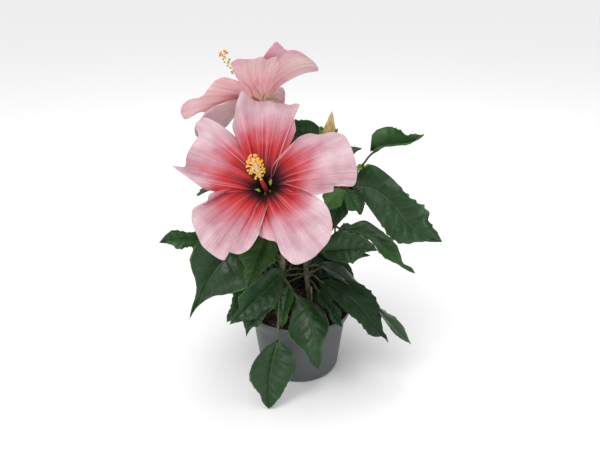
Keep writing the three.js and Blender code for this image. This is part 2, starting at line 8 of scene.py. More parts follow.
import bpy
import numpy as np
from bpy.props import FloatProperty, FloatVectorProperty, IntProperty, PointerProperty
from bpy.types import Operator, Panel, PropertyGroup
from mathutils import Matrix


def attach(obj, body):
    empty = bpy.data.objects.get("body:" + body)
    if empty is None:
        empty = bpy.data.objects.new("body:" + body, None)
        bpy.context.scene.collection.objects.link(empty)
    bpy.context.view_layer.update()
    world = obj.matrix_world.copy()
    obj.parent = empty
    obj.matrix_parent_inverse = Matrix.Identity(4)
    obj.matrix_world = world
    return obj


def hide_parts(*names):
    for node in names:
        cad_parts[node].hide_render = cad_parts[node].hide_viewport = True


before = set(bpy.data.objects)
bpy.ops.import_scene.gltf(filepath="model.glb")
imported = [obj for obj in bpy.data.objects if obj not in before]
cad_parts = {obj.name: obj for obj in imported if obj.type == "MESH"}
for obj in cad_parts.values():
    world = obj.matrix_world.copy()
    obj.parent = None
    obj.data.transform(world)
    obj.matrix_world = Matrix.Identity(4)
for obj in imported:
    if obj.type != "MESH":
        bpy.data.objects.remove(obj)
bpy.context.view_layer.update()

bl_info = {
    "name": "Potted Hibiscus",
    "version": (1, 0, 0),
    "blender": (4, 5, 0),
    "location": "View3D > Sidebar > Hibiscus",
    "description": "Grows a potted hibiscus shrub in flower, piece by piece",
    "category": "Add Mesh",
}

MM = 0.001
GAP = 0.3
UV_NAME = "Along"
WHITE = (1, 1, 1)

POT = dict(
    rim_radius=52.5, height=69, lip=4.5, under_lip_radius=47.8, under_lip=60, heel_radius=40.6, heel=5,
    foot_radius=37, foot_round=[1.4, 0.3], heel_round=[0.6, 1.6], wall=1.2, floor=1.6, flare=0.75,
    flare_up=1.5, holes=6, hole_radius=3, hole_ring=25, hole_sides=32,
)
SOIL = dict(
    top=64, mound=1.6, lump=0.9, foot=8, heap=6, heap_at=[6, 20], heap_spread=17, wander=0.55,
    sides=200, rows=70, inset=1.2, clear=2, seed=7,
    waves=[(0.9, 0.3, 1.2), (1.7, 2.1, 0.4), (3.1, 4.0, 2.2), (4.3, 1.1, 3.3)],
)
# A crumb's least size, how much larger the largest is, how clear of the stems and the wall it lies, how
# uneven and how squashed it is, how high it sits, and the shares of dark, brown and pale ones.
CRUMB = dict(
    least=0.35, more=1.5, stems=4.5, wall=1.5, uneven=[0.6, 1.3], squash=[0.5, 1.4], up=0.2,
    shares=[0.6, 0.28, 0.12],
)
GROUND = SOIL["top"] + SOIL["mound"] + GAP

# Each limb runs through a few places, and tapers from its first radius to its last.
# One that bears a bloom ends under the bloom's calyx and runs in line with it there.
LIMBS = {
    "trunk_left": dict(
        path=[[-12, 2, GROUND], [-14, -1, 87], [-17, -8, 107], [-16, -5, 127], [-19, 1, 153], [-21, 5, 175]],
        radii=[3.1, 1.9], flare=1.5),
    "trunk_right": dict(
        path=[[11, 2, GROUND], [9, 1, 88], [7, 5, 113], [14, 9, 133], [24, 10, 145]],
        radii=[2.5, 1.8], flare=1.3),
    "bough_right": dict(
        path=[[24.3, 10, 145.3], [36, 9, 153], [46, 10, 170], [42, 12, 193]],
        radii=[1.7, 1.4], stem="trunk_right"),
    "bough_shoot": dict(
        path=[[42.7, 12, 189], [49, 12, 199], [55, 10, 207], [61, 7, 216]],
        radii=[1, 0.7], stem="bough_right"),
    "bough_bud": dict(
        path=[[42, 12, 193.3], [40, 13, 206], [35, 9, 223], [27, 3, 238]],
        radii=[1.3, 1], stem="bough_right"),
    "bough_back_bloom": dict(
        path=[[-21, 5, 175.3], [-22, 8, 199], [-22, 10, 222]], bloom="bloom_back",
        radii=[1.8, 1.3], stem="trunk_left"),
    "bough_front_bloom": dict(
        path=[[-20.5, 4, 169], [-21.5, -6, 173]], bloom="bloom_front",
        radii=[1.5, 1.3], stem="trunk_left"),
}
FEET = [LIMBS[name]["path"][0][:2] for name in ("trunk_left", "trunk_right")]
# Bark has a scar at each node, and the scars turn round the stem from node to node.
BARK = dict(node=13, scar=1.1, turn=2.4, row=0.55, sides=28)

# A rim gives the blade's width it was measured on, then how far it lies to the left and right of
# the midrib at a few places along the blade's length.
RIMS = {
    "long_tail": (62, [(0.05, 13), (0.2, 33), (0.33, 36), (0.5, 31), (0.62, 22), (0.72, 10), (0.85, 3)],
                  [(0.1, 24), (0.3, 38), (0.43, 37), (0.55, 30), (0.65, 14), (0.75, 5), (0.9, 2)]),
    "one_lobe": (49, [(0.08, 14), (0.2, 20), (0.5, 23), (0.7, 19), (0.85, 10)],
                 [(0.12, 10), (0.35, 12), (0.66, 13), (0.76, 3), (0.9, 1)]),
    "broad": (49, [(0.1, 14), (0.3, 21), (0.5, 19), (0.75, 13), (0.9, 5)],
              [(0.1, 11), (0.3, 24), (0.48, 26), (0.6, 20), (0.75, 11), (0.9, 6)]),
    "slim": (32, [(0.15, 9), (0.3, 12), (0.5, 8), (0.7, 10), (0.82, 4)],
             [(0.15, 9), (0.3, 11), (0.5, 7), (0.75, 10), (0.9, 5)]),
    "stepped": (47, [(0.02, 13), (0.06, 21), (0.13, 25), (0.3, 20), (0.5, 13), (0.7, 13), (0.77, 6),
                     (0.9, 3)],
                [(0.12, 8), (0.3, 18), (0.55, 29), (0.72, 27), (0.85, 15)]),
    "bent": (46, [(0.05, 11), (0.18, 23), (0.32, 19), (0.5, 11), (0.65, 2), (0.8, -5), (0.92, 1)],
             [(0.1, 2), (0.27, 4), (0.5, 18), (0.8, 15), (0.92, 5)]),
    "short": (36, [(0.15, 7), (0.35, 15), (0.55, 14), (0.75, 10), (0.9, 5)],
              [(0.15, 11), (0.4, 17), (0.65, 18), (0.78, 6), (0.85, 3)]),
    "toothed": (46, [(0.1, 5), (0.28, 15), (0.38, 18), (0.58, 14), (0.72, 5), (0.85, -2), (0.94, 1)],
                [(0.1, 12), (0.35, 24), (0.6, 22), (0.8, 19), (0.9, 6)]),
    "notched": (42, [(0.05, 15), (0.2, 21), (0.35, 16), (0.5, 15), (0.58, 5), (0.75, 7), (0.9, 3)],
                [(0.1, 9), (0.4, 20), (0.6, 24), (0.75, 22), (0.9, 13)]),
    "lobed": (50, [(0.08, 11), (0.25, 24), (0.45, 27), (0.65, 19), (0.75, 13), (0.9, 9)],
              [(0.1, 4), (0.28, 14), (0.45, 20), (0.6, 17), (0.75, 10), (0.9, 6)]),
    "folded": (40, [(0.02, 13), (0.08, 19), (0.2, 23), (0.35, 22), (0.57, 14), (0.67, 6), (0.85, 4)],
               [(0.1, 10), (0.3, 15), (0.5, 13), (0.7, 8), (0.9, 4)]),
}
COMMON_RIMS = ["broad", "lobed", "short", "one_lobe"]
SMOOTH_RIMS = ["broad", "lobed", "long_tail", "one_lobe"]


def leaf(height, stalk, blade, size, fold=18, taper=1.05, tone=None, rim=None, heel=0.03):
    """A leaf hangs from a stalk that leaves its limb at a height, with a turn, a rise and a length.

    Its blade has a turn, a pitch at the base, a droop towards the tip and a roll round its midrib.
    Its heel is how far its lobes reach back past the stalk, as a part of the blade's length.
    """
    return dict(
        height=height, stalk=stalk, blade=blade, size=size, fold=fold, taper=taper, tone=tone, rim=rim,
        heel=heel)


MASSES = {
    "leaves_low_left": dict(limb="trunk_left", side=-115, leaves=[
        leaf(109, [-57, -22, 28], [-62, -29, 40, 10], [76, 50], -30, rim="lobed"),
        leaf(102, [-92, -35.5, 64], [-116, -62, 20, -48], [66, 49], rim="broad"),
        leaf(122, [-51, -70, 12], [-144, -13, 35, -68], [74, 49], 22, rim="one_lobe"),
        leaf(102, [172, -25, 14], [-156, -25, 20, -65], [55, 36]),
        leaf(101, [-115, -32, 21], [-138, -24, 30, -20], [44, 32], 22),
        leaf(106, [-52, -12, 15], [-108, -42, 30, 25], [42, 28]),
    ]),
    "leaves_left": dict(limb="trunk_left", side=180, leaves=[
        leaf(156, [-138, -5, 27], [-147, -23, 42, -70], [101, 62], 22, rim="long_tail"),
        leaf(153, [-124, -6, 15], [-114, -21, 45, 0], [58, 42]),
        leaf(139, [169, -4, 60], [-162, 20, 26, -64], [60, 34], 24, tone="mid", rim="slim"),
    ]),
    "leaves_low_right": dict(limb="trunk_right", side=-45, leaves=[
        leaf(110, [-24, 14, 15], [-15, -27, 24, -10], [121, 42], 12, rim="notched"),
        # The two leaves below take the deep tone, which is painted shade.
        leaf(102, [-58, 2, 21], [-27, 4, 75, 12], [94, 46], 8, rim="toothed", tone="deep"),
        leaf(96, [-72, 0, 22], [-48, -21, 30, 45], [45, 22], tone="deep", rim="slim"),
    ]),
    "leaves_right": dict(limb="bough_right", side=-70, leaves=[
        leaf(153, [-40, -24, 10], [-17, 7, 64, 12], [84, 46], 12, rim="bent", tone="mid"),
        leaf(150, [-112, -12, 36], [-17, 22, 30, 50], [56, 36], 22, rim="short"),
        leaf(152, [-92, -40, 20], [-21, 3, 20, 60], [36, 22], 22),
    ]),
    "leaves_upper_right": dict(limb="bough_right", side=-60, leaves=[
        leaf(190, [-64, 22, 21], [-25, -7, 36, 68], [96, 47], 12, rim="stepped"),
        leaf(188, [-75, 25, 12], [-35, -50, 20, 25], [27, 26], tone="mid", rim="short"),
        leaf(186, [-95, 20, 13], [-168, -22, 25, -62], [27, 22], tone="fresh", rim="short"),
        leaf(187, [-95, 28, 10], [-150, -45, 25, -55], [14, 12], tone="young", rim="broad"),
        leaf(184, [-128, -25, 6], [-138, -52, 20, -45], [27, 25], rim="short"),
    ]),
    "leaves_shoot": dict(limb="bough_shoot", side=40, leaves=[
        leaf(217, [-22, 50, 18], [-21, 12, -25, 34], [48, 40], 44, tone="mid", rim="folded", heel=0.13),
        leaf(212, [-60, 10, 4], [-176, 5, 20, -50], [9, 8], tone="young", rim="broad"),
        leaf(213, [-70, 15, 5], [-24, 5, 30, 50], [9, 8], tone="young", rim="broad"),
    ]),
    "leaves_behind_bud": dict(limb="bough_bud", side=70, leaves=[
        leaf(217, [138, 40, 26], [171, 19, 20, -70], [52, 34], 26),
        leaf(206, [96, 45, 19], [-10, 19, 4, -72], [23, 12]),
    ]),
}

# A grown mass holds leaves that a seeded rule fans out about its side of the limb. Those it names
# as bowed hang lower than the rule says.
GROWTH = dict(
    stalk=[22, 40], rise=[5, 30], blade=[58, 84], slimness=[0.58, 0.7], pitch=[0, 20], droop=[30, 55],
    roll=25, twist=40, elbow=5.5, tries=20, bow=40,
)
LOW = dict(rise=[-15, 8], pitch=[-12, 8], droop=[15, 35])
GROWN = {
    "leaves_back_low": dict(limb="trunk_left", side=95, span=[91, 125], count=5, fan=130, seed=113, **LOW),
    "leaves_back_left": dict(limb="trunk_left", side=108, span=[137, 169], count=5, fan=100, seed=41),
    "leaves_back_right": dict(limb="trunk_right", side=70, span=[87, 127], count=5, fan=90, seed=101, **LOW),
    "leaves_back_bough": dict(
        limb="bough_right", side=95, span=[153, 189], count=5, fan=100, seed=41, bowed=[0]),
    "leaves_back_top": dict(limb="bough_back_bloom", side=85, span=[187, 227], count=4, fan=110, seed=53),
}
# More leaves, darkened with the deep tone of painted shade, fill the dark behind the stems, within the reach
# of the grown ones.
FILLERS = {
    "leaves_back_right": [
        leaf(112, [95, 10, 20], [20, -20, 50, 70], [60, 40], tone="deep", rim="broad"),
        leaf(96, [60, 0, 26], [-5, -15, 40, 50], [48, 32], tone="deep", rim="lobed"),
        leaf(104, [110, 2, 34], [190, -38, 20, -60], [46, 36], tone="deep", rim="broad"),
        leaf(98, [72, -4, 34], [-8, -28, 25, 60], [46, 36], tone="deep", rim="lobed"),
        leaf(106, [72, 4, 40], [-90, -72, 10, 0], [38, 46], tone="deep", rim="broad"),
        leaf(104, [88, 3, 38], [-90, -72, 10, 0], [38, 34], tone="deep", rim="lobed"),
    ],
    "leaves_back_low": [
        leaf(100, [80, 0, 28], [50, -25, 40, 60], [46, 34], tone="deep", rim="broad"),
        leaf(112, [100, 8, 24], [60, -30, 40, 75], [52, 38], tone="deep", rim="one_lobe"),
        leaf(104, [100, 2, 34], [198, -20, 25, -62], [50, 42], tone="deep", rim="broad"),
        leaf(104, [75, 4, 40], [-90, -72, 10, 0], [36, 38], tone="deep", rim="lobed"),
    ],
}
# Bare twigs stand round the left trunk's lower node, and a cut stub beside the right trunk.
TWIGS = [
    dict(path=[[-15.5, -7, 105], [-18, -9, 111], [-23, -9, 119]], radii=[0.9, 0.6]),
    dict(path=[[-15.5, -7, 105.5], [-11, -6, 110], [-6, -3, 118]], radii=[0.8, 0.5]),
    dict(path=[[-15, -8, 105], [0, -8, 107], [10, -8, 109], [23, -7, 115]], radii=[0.9, 0.6]),
    dict(path=[[-11, -8, 98], [-4, -7, 101], [8, -4, 105], [17, -4, 109]], radii=[0.8, 0.6]),
    dict(path=[[12.6, 0, 66], [12.4, 1, 78], [12.2, 1, 88]], radii=[1.2, 1.1], green=True),
]
# A blade's veins sweep forward by a share of its length. Its waves and cockles grow with its size, up
# to the length where it counts as long. Its number of teeth is a least one and what chance adds.
LEAF = dict(
    base=0.7, tip=0.4, shoulder=0.55, thickness=0.45, sweep=0.62, long=60, vein=0.003, quilt=0.024,
    swell=0.07, wave=0.034, cockle=0.25, cockles=[21, 6], relief=1.15, crease=0.04, flat=[0.06, 0.1],
    teeth=[4.2, 2], bite=0.16, smooth_bite=0.05, hook=2.2, hollow=0.35, bare_base=[0.3, 0.55],
    bare_tip=[0.02, 0.12], least=0.35,
)
# A blade's slow waves, each with its height and how fast it runs along and across the blade.
WAVES = [(1, 9, 1.3), (0.5, 17, -2)]
# How far out a blade's veins are painted on its top and underside, and where its bright edge starts.
PAINT = dict(vein_to=0.72, under_vein_to=0.8, edge_from=0.965, edge_above=0.3)
STALK = dict(radius=1, bow=0.1, spur=1.2, clear=0.4, sides=10, rows=46)
# The midrib runs under these places along the blade, so far below them, and thins to a share.
MIDRIB = dict(at=(0.02, 0.2, 0.45, 0.75), below=(0.55, 0.5, 0.4, 0.3), radius=0.55, thin=0.25)
# The deep finish is a leaf top darkened with painted shade.
LEAF_ROUGHNESS = dict(
    deep=0.38, dark=0.33, mid=0.35, fresh=0.4, young=0.42, vein=0.42, midrib=0.45, edge=0.45, under=0.62,
    under_vein=0.6,
)
# Finishes that have no colour of their own: whose colour they take and how much lighter they are.
LIGHTER = dict(midrib=("vein", 1.7), edge=("fresh", 1.15), under_vein=("under", 1.5))


def petal(turn, length, width, **shape):
    """A petal's turn runs clockwise from its bloom's own top, as seen from the front.

    Its eye and flush scale how far out its dark and its red run, and its rim is given across and along it.
    """
    return dict(turn=turn, length=length, width=width, **shape)


BLOOMS = {
    "bloom_front": dict(
        eye=[-31.5, -48, 216.5], facing=[-0.18, -0.67, 0.71], top=[0, 0, 1],
        petals=[
            petal(-7, 92, 68, eye=0.88, flush=1.16, rim=[
                (-22, 46), (-30, 60), (-29, 76), (-25, 99), (-14, 91), (4, 87), (18, 87), (28, 86), (24, 75),
                (27, 58)]),
            petal(69, 93, 70, rim=[
                (-20, 34), (-31, 52), (-29, 66), (-24, 83), (-13, 89), (12, 90), (23, 87), (24, 82), (21, 70),
                (28, 66), (29, 52)]),
            petal(138, 95, 74, rim=[
                (-23, 40), (-32, 60), (-30, 76), (-20, 90), (-3, 96), (15, 91), (20, 79), (18, 67), (24, 60),
                (28, 52)]),
            petal(207, 88, 68, flush=1.06, rim=[
                (-27, 43), (-34, 58), (-31, 72), (-22, 77), (-22, 84), (-5, 85), (8, 82), (30, 72), (35, 62),
                (28, 53), (30, 45)]),
            petal(291, 94, 74, eye=0.76, flush=1.08, rim=[
                (-27, 41), (-31, 56), (-28, 82), (-25, 87), (-20, 78), (-6, 85), (12, 87), (18, 95),
                (27, 102), (32, 91), (28, 62), (25, 50)]),
        ],
        tissue=["petal_pink", "petal_pink_outside"], pollen="pollen",
        bend=[0, 0, 0], sweep=[1.5, 0, 1], lobe=[8.6, 8], column=57, stamens=50, brush=1.2, waves=1),
    "bloom_back": dict(
        eye=[-40.4, 42, 277], facing=[-0.34, 0.58, 0.74], top=[0, -1, 0],
        petals=[
            petal(344, 72, 52, flat=14, back=-20, lift=5, rim=[
                (-20, 32), (-23, 50), (-21, 61), (-12, 61), (-7, 66), (4, 64), (19, 73), (17, 44), (15, 33)]),
            petal(293, 80, 52, flat=16, back=-55, lift=7, rim=[
                (-12, 28), (-11, 43), (-24, 58), (-26, 66), (-7, 75), (5, 78), (15, 76), (21, 66), (40, 74),
                (30, 56), (26, 46)]),
            petal(215, 38, 30, flat=0, back=-120, lift=5, rim=[
                (-14, 18), (-15, 27), (-4, 38), (5, 38), (15, 27), (14, 18)]),
            petal(108, 72, 50, flat=8, back=-35, lift=5, rim=[
                (-20, 28), (-28, 44), (-31, 58), (-31, 70), (-18, 78), (6, 74), (20, 62), (22, 45),
                (20, 28)]),
            petal(80, 84, 56, flat=16, lift=-13, rim=[
                (-27, 28), (-34, 38), (-18, 52), (-10, 64), (-10, 74), (-5, 83), (6, 83), (6, 68), (18, 53),
                (20, 36)]),
        ],
        tissue=["petal_peach", "petal_peach_outside"], pollen="pollen_olive",
        bend=[-11, 0, -2], sweep=[-17, 0, -5], lobe=[5, 3], column=70, stamens=20, brush=0.55, waves=0.35),
}
# A petal starts steeply at its root, deep in the bloom, opens to its flat part and curls back at its end.
# It wraps round the bloom's axis less and less, by its spread.
PETAL = dict(
    thickness=0.5, root=3, depth=-20, start=72, flat=12, back=-12, opening=35, lift=5, short=0.22, spread=400,
    claw=2.4, claw_share=0.12, ruffle=1.6, pinch=0.7, pinch_at=9, pinch_reach=6, pleat=0.28, pleats=19,
    fold=2, folds=6.5, fade=0.28, steps=24, phase=2.1, rows=90, columns=96,
)
# A petal's rim frills in waves, each with its height and how fast it runs across the petal.
FRILL = [(0.6, 8), (0.5, 14), (0.2, 33)]
# Each tissue's colours run from the eye to the rim. Its line and cast are the pale veins and patches.
TISSUES = {
    "petal_pink": dict(veins=0.3, spots=0.46, line="#e8c4ca", cast="#e0cad0", stops=[
        (0.0, "#120406"), (0.19, "#1a0508"), (0.25, "#460a12"), (0.31, "#8c1018"), (0.38, "#b42226"),
        (0.46, "#bc3c44"), (0.54, "#bc5a68"), (0.64, "#c0808e"), (0.76, "#bf979f"), (1.0, "#c8aab1")]),
    "petal_pink_outside": dict(veins=0.2, spots=0.2, line="#f2dcde", cast="#ead2cc", stops=[
        (0.0, "#7c3c44"), (0.22, "#a4525c"), (0.4, "#d4828c"), (0.6, "#e0aab0"), (1.0, "#e8ccd0")]),
    "petal_peach": dict(veins=0.2, spots=0.3, line="#f6d6dc", cast="#e9a9bb", stops=[
        (0.0, "#5a1c22"), (0.14, "#8a3440"), (0.28, "#d07280"), (0.5, "#e794a2"), (0.7, "#efb9c4"),
        (1.0, "#f1cbd4")]),
    # The back bloom's outer colours are partly its own pale tint and partly painted light, made lighter to
    # stand in for light shining through the petals.
    "petal_peach_outside": dict(veins=0.7, spots=0.55, line="#fbe6d8", cast="#e4b2c4", stops=[
        (0.0, "#eecab0"), (0.16, "#f2bcb4"), (0.36, "#f0a8b4"), (0.55, "#f5c5c6"), (0.72, "#f6d6d0"),
        (0.88, "#f3d6d7"), (1.0, "#edc0cd")]),
}
# Streaks that run along a petal: how fine they are across it, how long they are and their detail.
STREAKS = dict(
    broad=(8, 0.1, 3), fine=(46, 0.03, 4), dark=(90, 0.02, 2), pale=(70, 0.015, 1), fold=(13, 0.12, 3),
    thread=(56, 0.02, 3), ridge=(64, 0.03, 3),
)
# What darkens a petal: from where to where on its noise, with which tint and how much.
# The fold band is painted shade along the petal's soft folds.
SHADES = dict(
    dark=(0.36, 0.52, (0.72, 0.5, 0.56), 0.2), fold=(0.36, 0.6, (0.78, 0.7, 0.73), 0.75),
    thread=(0.38, 0.54, (0.8, 0.58, 0.66), 0.26), grain=(0.34, 0.6, (0.88, 0.85, 0.86), 0.7),
)
# Where a part of a petal's look sets in or fades, along the petal or on its noise, as greys.
GREYS = dict(
    wander=[(0.1, 0), (0.4, 1)], pale=[(0.58, 0), (0.72, 0.32)], patches=[(0.4, 0), (0.66, 0.6)],
    lines=[(0.2, 0), (0.36, 1), (0.66, 0.7), (1.0, 0.4)], outer=[(0.4, 0), (0.75, 1)],
)
# Soft mottles with their scale and spread, some with a grain in the surface and its height in metres.
# Inside, the calyx takes a lime colour, partly its own and partly painted light, and gives off painted light
# too: both stand in for daylight shining through it in the gaps between the petals' claws.
MOTTLES = {
    "crumb_dark": dict(colour="#2a201c", roughness=0.9, scale=900, spread=0.4),
    "crumb_brown": dict(colour="#75594e", roughness=0.9, scale=900, spread=0.4),
    "crumb_pale": dict(colour="#8a8074", roughness=0.85, scale=900, spread=0.25),
    "green_twig": dict(colour="#96ad6a", roughness=0.5, scale=300, spread=0.2, grain=1500, height=0.00006),
    "stalk": dict(roughness=0.5, scale=160, spread=0.3, grain=1500, height=0.00006),
    "calyx_green": dict(colour="#6d8436", roughness=0.5, scale=260, spread=0.25, grain=1800, height=0.00006),
    "calyx_inside": dict(
        colour="#c4e860", roughness=0.5, scale=260, spread=0.2, painted_glow="#a8cc50", painted_glow_strength=0.3),
    "bud_green": dict(colour="#64803a", roughness=0.5, scale=260, spread=0.25, grain=1800, height=0.00006),
    "pollen": dict(roughness=0.8, scale=1500, spread=0.22, grain=4200, height=0.0002),
    "pollen_olive": dict(colour="#a8922e", roughness=0.8, scale=1500, spread=0.22, grain=4200, height=0.0002),
    "pad": dict(colour="#eda63c", roughness=0.85, scale=1500, spread=0.2, grain=3600, height=0.00035),
}
# Looks of the larger surfaces. A tone is a share of the surface's own colour, or a colour, and stands
# at its place on noise of the scale "tone". A height of relief is in metres.
PLASTIC = dict(
    roughness=0.42, matt=[0.34, 0.56], tone=26, tones=[(0.3, 0.86), (0.55, 1), (0.8, 1.25)], smear=60,
    stretch=(1, 1, 0.15), grain=2600, grain_height=0.00004,
)
EARTH = dict(
    roughness=0.95, tone=700, tones=[(0.35, 0.4), (0.52, 1), (0.68, "#5a463a")], grain=1100,
    grain_height=0.0005,
)
RIND = dict(
    roughness=0.72, tone=420, stretch=(1, 1, 0.22), stops=[0.28, 0.48, 0.62, 0.8], dark=0.45, pale=1.5,
    ridge_height=0.0004, grain=2200, grain_height=0.00008,
)
BLADE_LOOK = dict(
    tone=55, tones=[(0.3, 0.72), (0.5, 1), (0.72, 1.32)], cockle=110, cockle_height=0.001, grain=900,
    grain_height=0.00006, gloss=36, gloss_from=[0.35, 0.65], glossier=0.07, duller=0.14, shine=0.33,
    deep_shine=0.22,
)
PETAL_LOOK = dict(
    roughness=0.6, patch=34, grain=700, ridge_height=0.0005, shine=0.18, flesh=0.12,
    flesh_depth=(0.004, 0.0015, 0.0015),
)
# Places and sizes in metres here, and a lamp's power in watts.
LAMPS = {
    "key": dict(place=(-0.9, -1.0, 1.5), aim=(0, 0, 0.18), size=0.7, power=7),
    "fill": dict(place=(1.3, -0.6, 0.9), aim=(0, 0, 0.18), size=0.8, power=3),
    "top": dict(place=(0.1, 0.6, 1.6), aim=(0, 0, 0.2), size=0.8, power=5),
    "low": dict(place=(0.15, -1.2, 0.12), aim=(0, 0, 0.25), size=0.6, power=3.5),
}
SUN = dict(power=1.2, size=50, tilt=[24, -16])
FLOOR = dict(reach=14, white=0.93, roughness=0.9)
SKY = 0.6
# The camera's sensor in millimetres, and in metres how far right it stands and how near it sees.
CAMERA = dict(sensor=36, aside=0.001, near=0.01)
NECK = 12
CALYX = dict(base=-34, seat=-22, neck=1.6, radius=6.2, lobes=5)
CUP = dict(rise=5.6, sides=120, rows=26, swell=1.4, wall=0.55, inner_from=6)
COLUMN = dict(
    foot=-19.6, radii=[2.2, 1.1], waist=0.25, stamens_from=0.55, stamens_to=0.93, sheath=1.06, sides=20)
# A stamen's turn from the one before, how far it leans forward and how long it is, each with what
# chance adds, and the half axes of its two pollen sacs.
STAMEN = dict(
    turn=2.4, forward=[0.2, 0.5], length=[4.2, 2.4], radius=0.22, bow=0.5,
    sacs=[(1.05, 0.8, 0.7), (0.6, 0.7, 0.75)], beside=0.7, behind=0.3,
)
PAD = dict(
    count=5, turn=0.4, forward=0.9, length=5, bow=[2.2, 0.6], radius=1.75, depth=1, style=0.5, thin=0.1)
BUD = dict(
    base=[26.9, 2.8, 238.4], lean=[0.02, -0.1, 1], length=25, radius=6.6, full=1.32, seat=5, foot=1.2,
    tip=2.5, furl=2.6, petals=5, rows=70, sides=90, cup_lobe=[0.4, 3.2], cup_turn=0.3,
)
# A ring of bracts: how far out and how far up each bract's places lie, and how thick it is.
BRACTS = dict(
    count=8, calyx=[(2, CALYX["base"] + 1), (4.2, 4), (6.6, 10)], calyx_radius=0.85,
    bud=[(1.6, 0.8), (4.6, 2.5), (6.2, 6.5)], bud_radius=0.8,
)


def colour_property(name, description, default):
    return FloatVectorProperty(name=name, description=description, default=default, size=3, subtype="COLOR")


def length_property(name, description, default):
    """A length in metres."""
    return FloatProperty(name=name, description=description, default=default, unit="LENGTH")


class PotSettings(PropertyGroup):
    """Sizes and colour of the pot and its soil."""
    sides: IntProperty(name="Sides", description="Sides of the turned pot", default=160, min=24)
    colour: colour_property("Plastic", "Colour of the pot", (0.062, 0.069, 0.075))
    crumbs: IntProperty(name="Crumbs", description="Loose crumbs on the soil", default=2200, min=0)
    soil: colour_property("Soil", "Colour of the soil", (0.04, 0.028, 0.023))


class StemSettings(PropertyGroup):
    """Sizes and colours of the stems."""
    relief: length_property("Bark relief", "Height of the bark's ridges in metres", 0.00022)
    bark: colour_property("Bark", "Colour of the old bark", (0.13, 0.105, 0.065))
    shoot: colour_property("Young bark", "Colour of young stems", (0.055, 0.04, 0.026))


class LeafSettings(PropertyGroup):
    """Shape and colours of the leaves."""
    veins: IntProperty(name="Veins", description="Side veins on each half of a leaf", default=7, min=3)
    relief: length_property("Vein relief", "How far veins sink, in metres", 0.0005)
    # The deep tone is painted shade: the top of a leaf made darker where it stands in shade.
    deep: colour_property("Deep leaf", "Top of a shaded old leaf", (0.005, 0.023, 0.005))
    dark: colour_property("Dark leaf", "Top of an old leaf", (0.009, 0.039, 0.008))
    mid: colour_property("Leaf", "Top of a leaf", (0.019, 0.066, 0.012))
    fresh: colour_property("Fresh leaf", "Top of a leaf that has just grown out", (0.04, 0.11, 0.018))
    young: colour_property("Young leaf", "Top of a young leaf", (0.1, 0.22, 0.02))
    under: colour_property("Underside", "Underside of a leaf", (0.05, 0.085, 0.04))
    vein: colour_property("Vein", "Veins on a leaf's top", (0.027, 0.063, 0.02))
    stalk: colour_property("Stalk", "Leaf stalks", (0.06, 0.07, 0.022))


class BloomSettings(PropertyGroup):
    """Shape of the petals and column."""
    ruffle: length_property("Ruffle", "Height of the waves at a petal's rim in metres", 0.0034)
    anther: colour_property("Anther", "Colour of the pollen sacs", (0.83, 0.5, 0.03))


class StageSettings(PropertyGroup):
    """Camera and light."""
    lens: FloatProperty(name="Lens", description="Camera's focal length in millimetres", default=37.5)
    distance: length_property("Distance", "Camera's distance along Y in metres", 0.563)
    height: length_property("Height", "Camera's height in metres", 0.3897)
    pitch: FloatProperty(
        name="Pitch", description="Camera's tilt below the horizon", default=math.radians(22.5),
        subtype="ANGLE")


def unit(v):
    """Directions of length 1."""
    return v / np.linalg.norm(v, axis=-1, keepdims=True)


def heading(turn, rise):
    """The direction with a turn round the pot's axis and a rise above the level."""
    a, e = math.radians(turn), math.radians(rise)
    return np.array([math.cos(a) * math.cos(e), math.sin(a) * math.cos(e), math.sin(e)])


def circle(sides):
    """Even angles round a circle."""
    return 2 * math.pi * np.arange(sides) / sides


def spoke(angle, up, right):
    """Directions at angles from up towards the right."""
    angle = np.asarray(angle)[..., None]
    return np.cos(angle) * up + np.sin(angle) * right


def mix(a, b, t):
    return a + (b - a) * t


def smoothstep(x, low, high):
    k = np.clip((np.asarray(x, float) - low) / (high - low), 0, 1)
    return k * k * (3 - 2 * k)


def dice(seed):
    """A repeatable run of numbers between 0 and 1."""
    factor, prime = 16807, 2147483647
    state = seed
    while True:
        state = state * factor % prime
        yield state / prime


def wave_starts(random, count):
    """Where so many waves start, each anywhere in its turn."""
    turn = 6.283
    return [random.random() * turn for _ in range(count)]


class Curve:
    """A smooth curve through places, whose ends run straight on."""

    def __init__(self, places):
        p = np.array(places, float)
        self.points = np.vstack([2 * p[0] - p[1], p, 2 * p[-1] - p[-2]])
        self.spans = len(p) - 1

    def at(self, t):
        t = np.atleast_1d(np.asarray(t, float))
        place = np.clip(t, 0, 1) * self.spans
        i = np.minimum(place.astype(int), self.spans - 1)
        w = (place - i)[:, None]
        a, b, c, d = (self.points[i + k] for k in range(4))
        m, n = (c - a) / 2, (d - b) / 2
        return (2 * b - 2 * c + m + n) * w ** 3 + (3 * c - 3 * b - 2 * m - n) * w ** 2 + m * w + b

    def along(self, t):
        t = np.atleast_1d(np.asarray(t, float))
        return unit(self.at(np.minimum(1, t + 1e-4)) - self.at(np.maximum(0, t - 1e-4)))


def bloom_frame(bloom):
    """A bloom's own frame: out of its mouth, up its face and to its right as seen from the front."""
    out = unit(np.array(bloom["facing"], float))
    top = np.array(bloom["top"], float)
    up = unit(top - out * top.dot(out))
    return np.array(bloom["eye"], float), out, up, np.cross(up, out)


def limb_curve(name):
    """A limb's centre line, which runs on into its bloom's calyx if it bears one."""
    spec = LIMBS[name]
    places = [np.array(p, float) for p in spec["path"]]
    if "bloom" in spec:
        eye, out, _, _ = bloom_frame(BLOOMS[spec["bloom"]])
        places += [eye + out * (CALYX["base"] - GAP - short) for short in (NECK, 0)]
    return Curve(places)


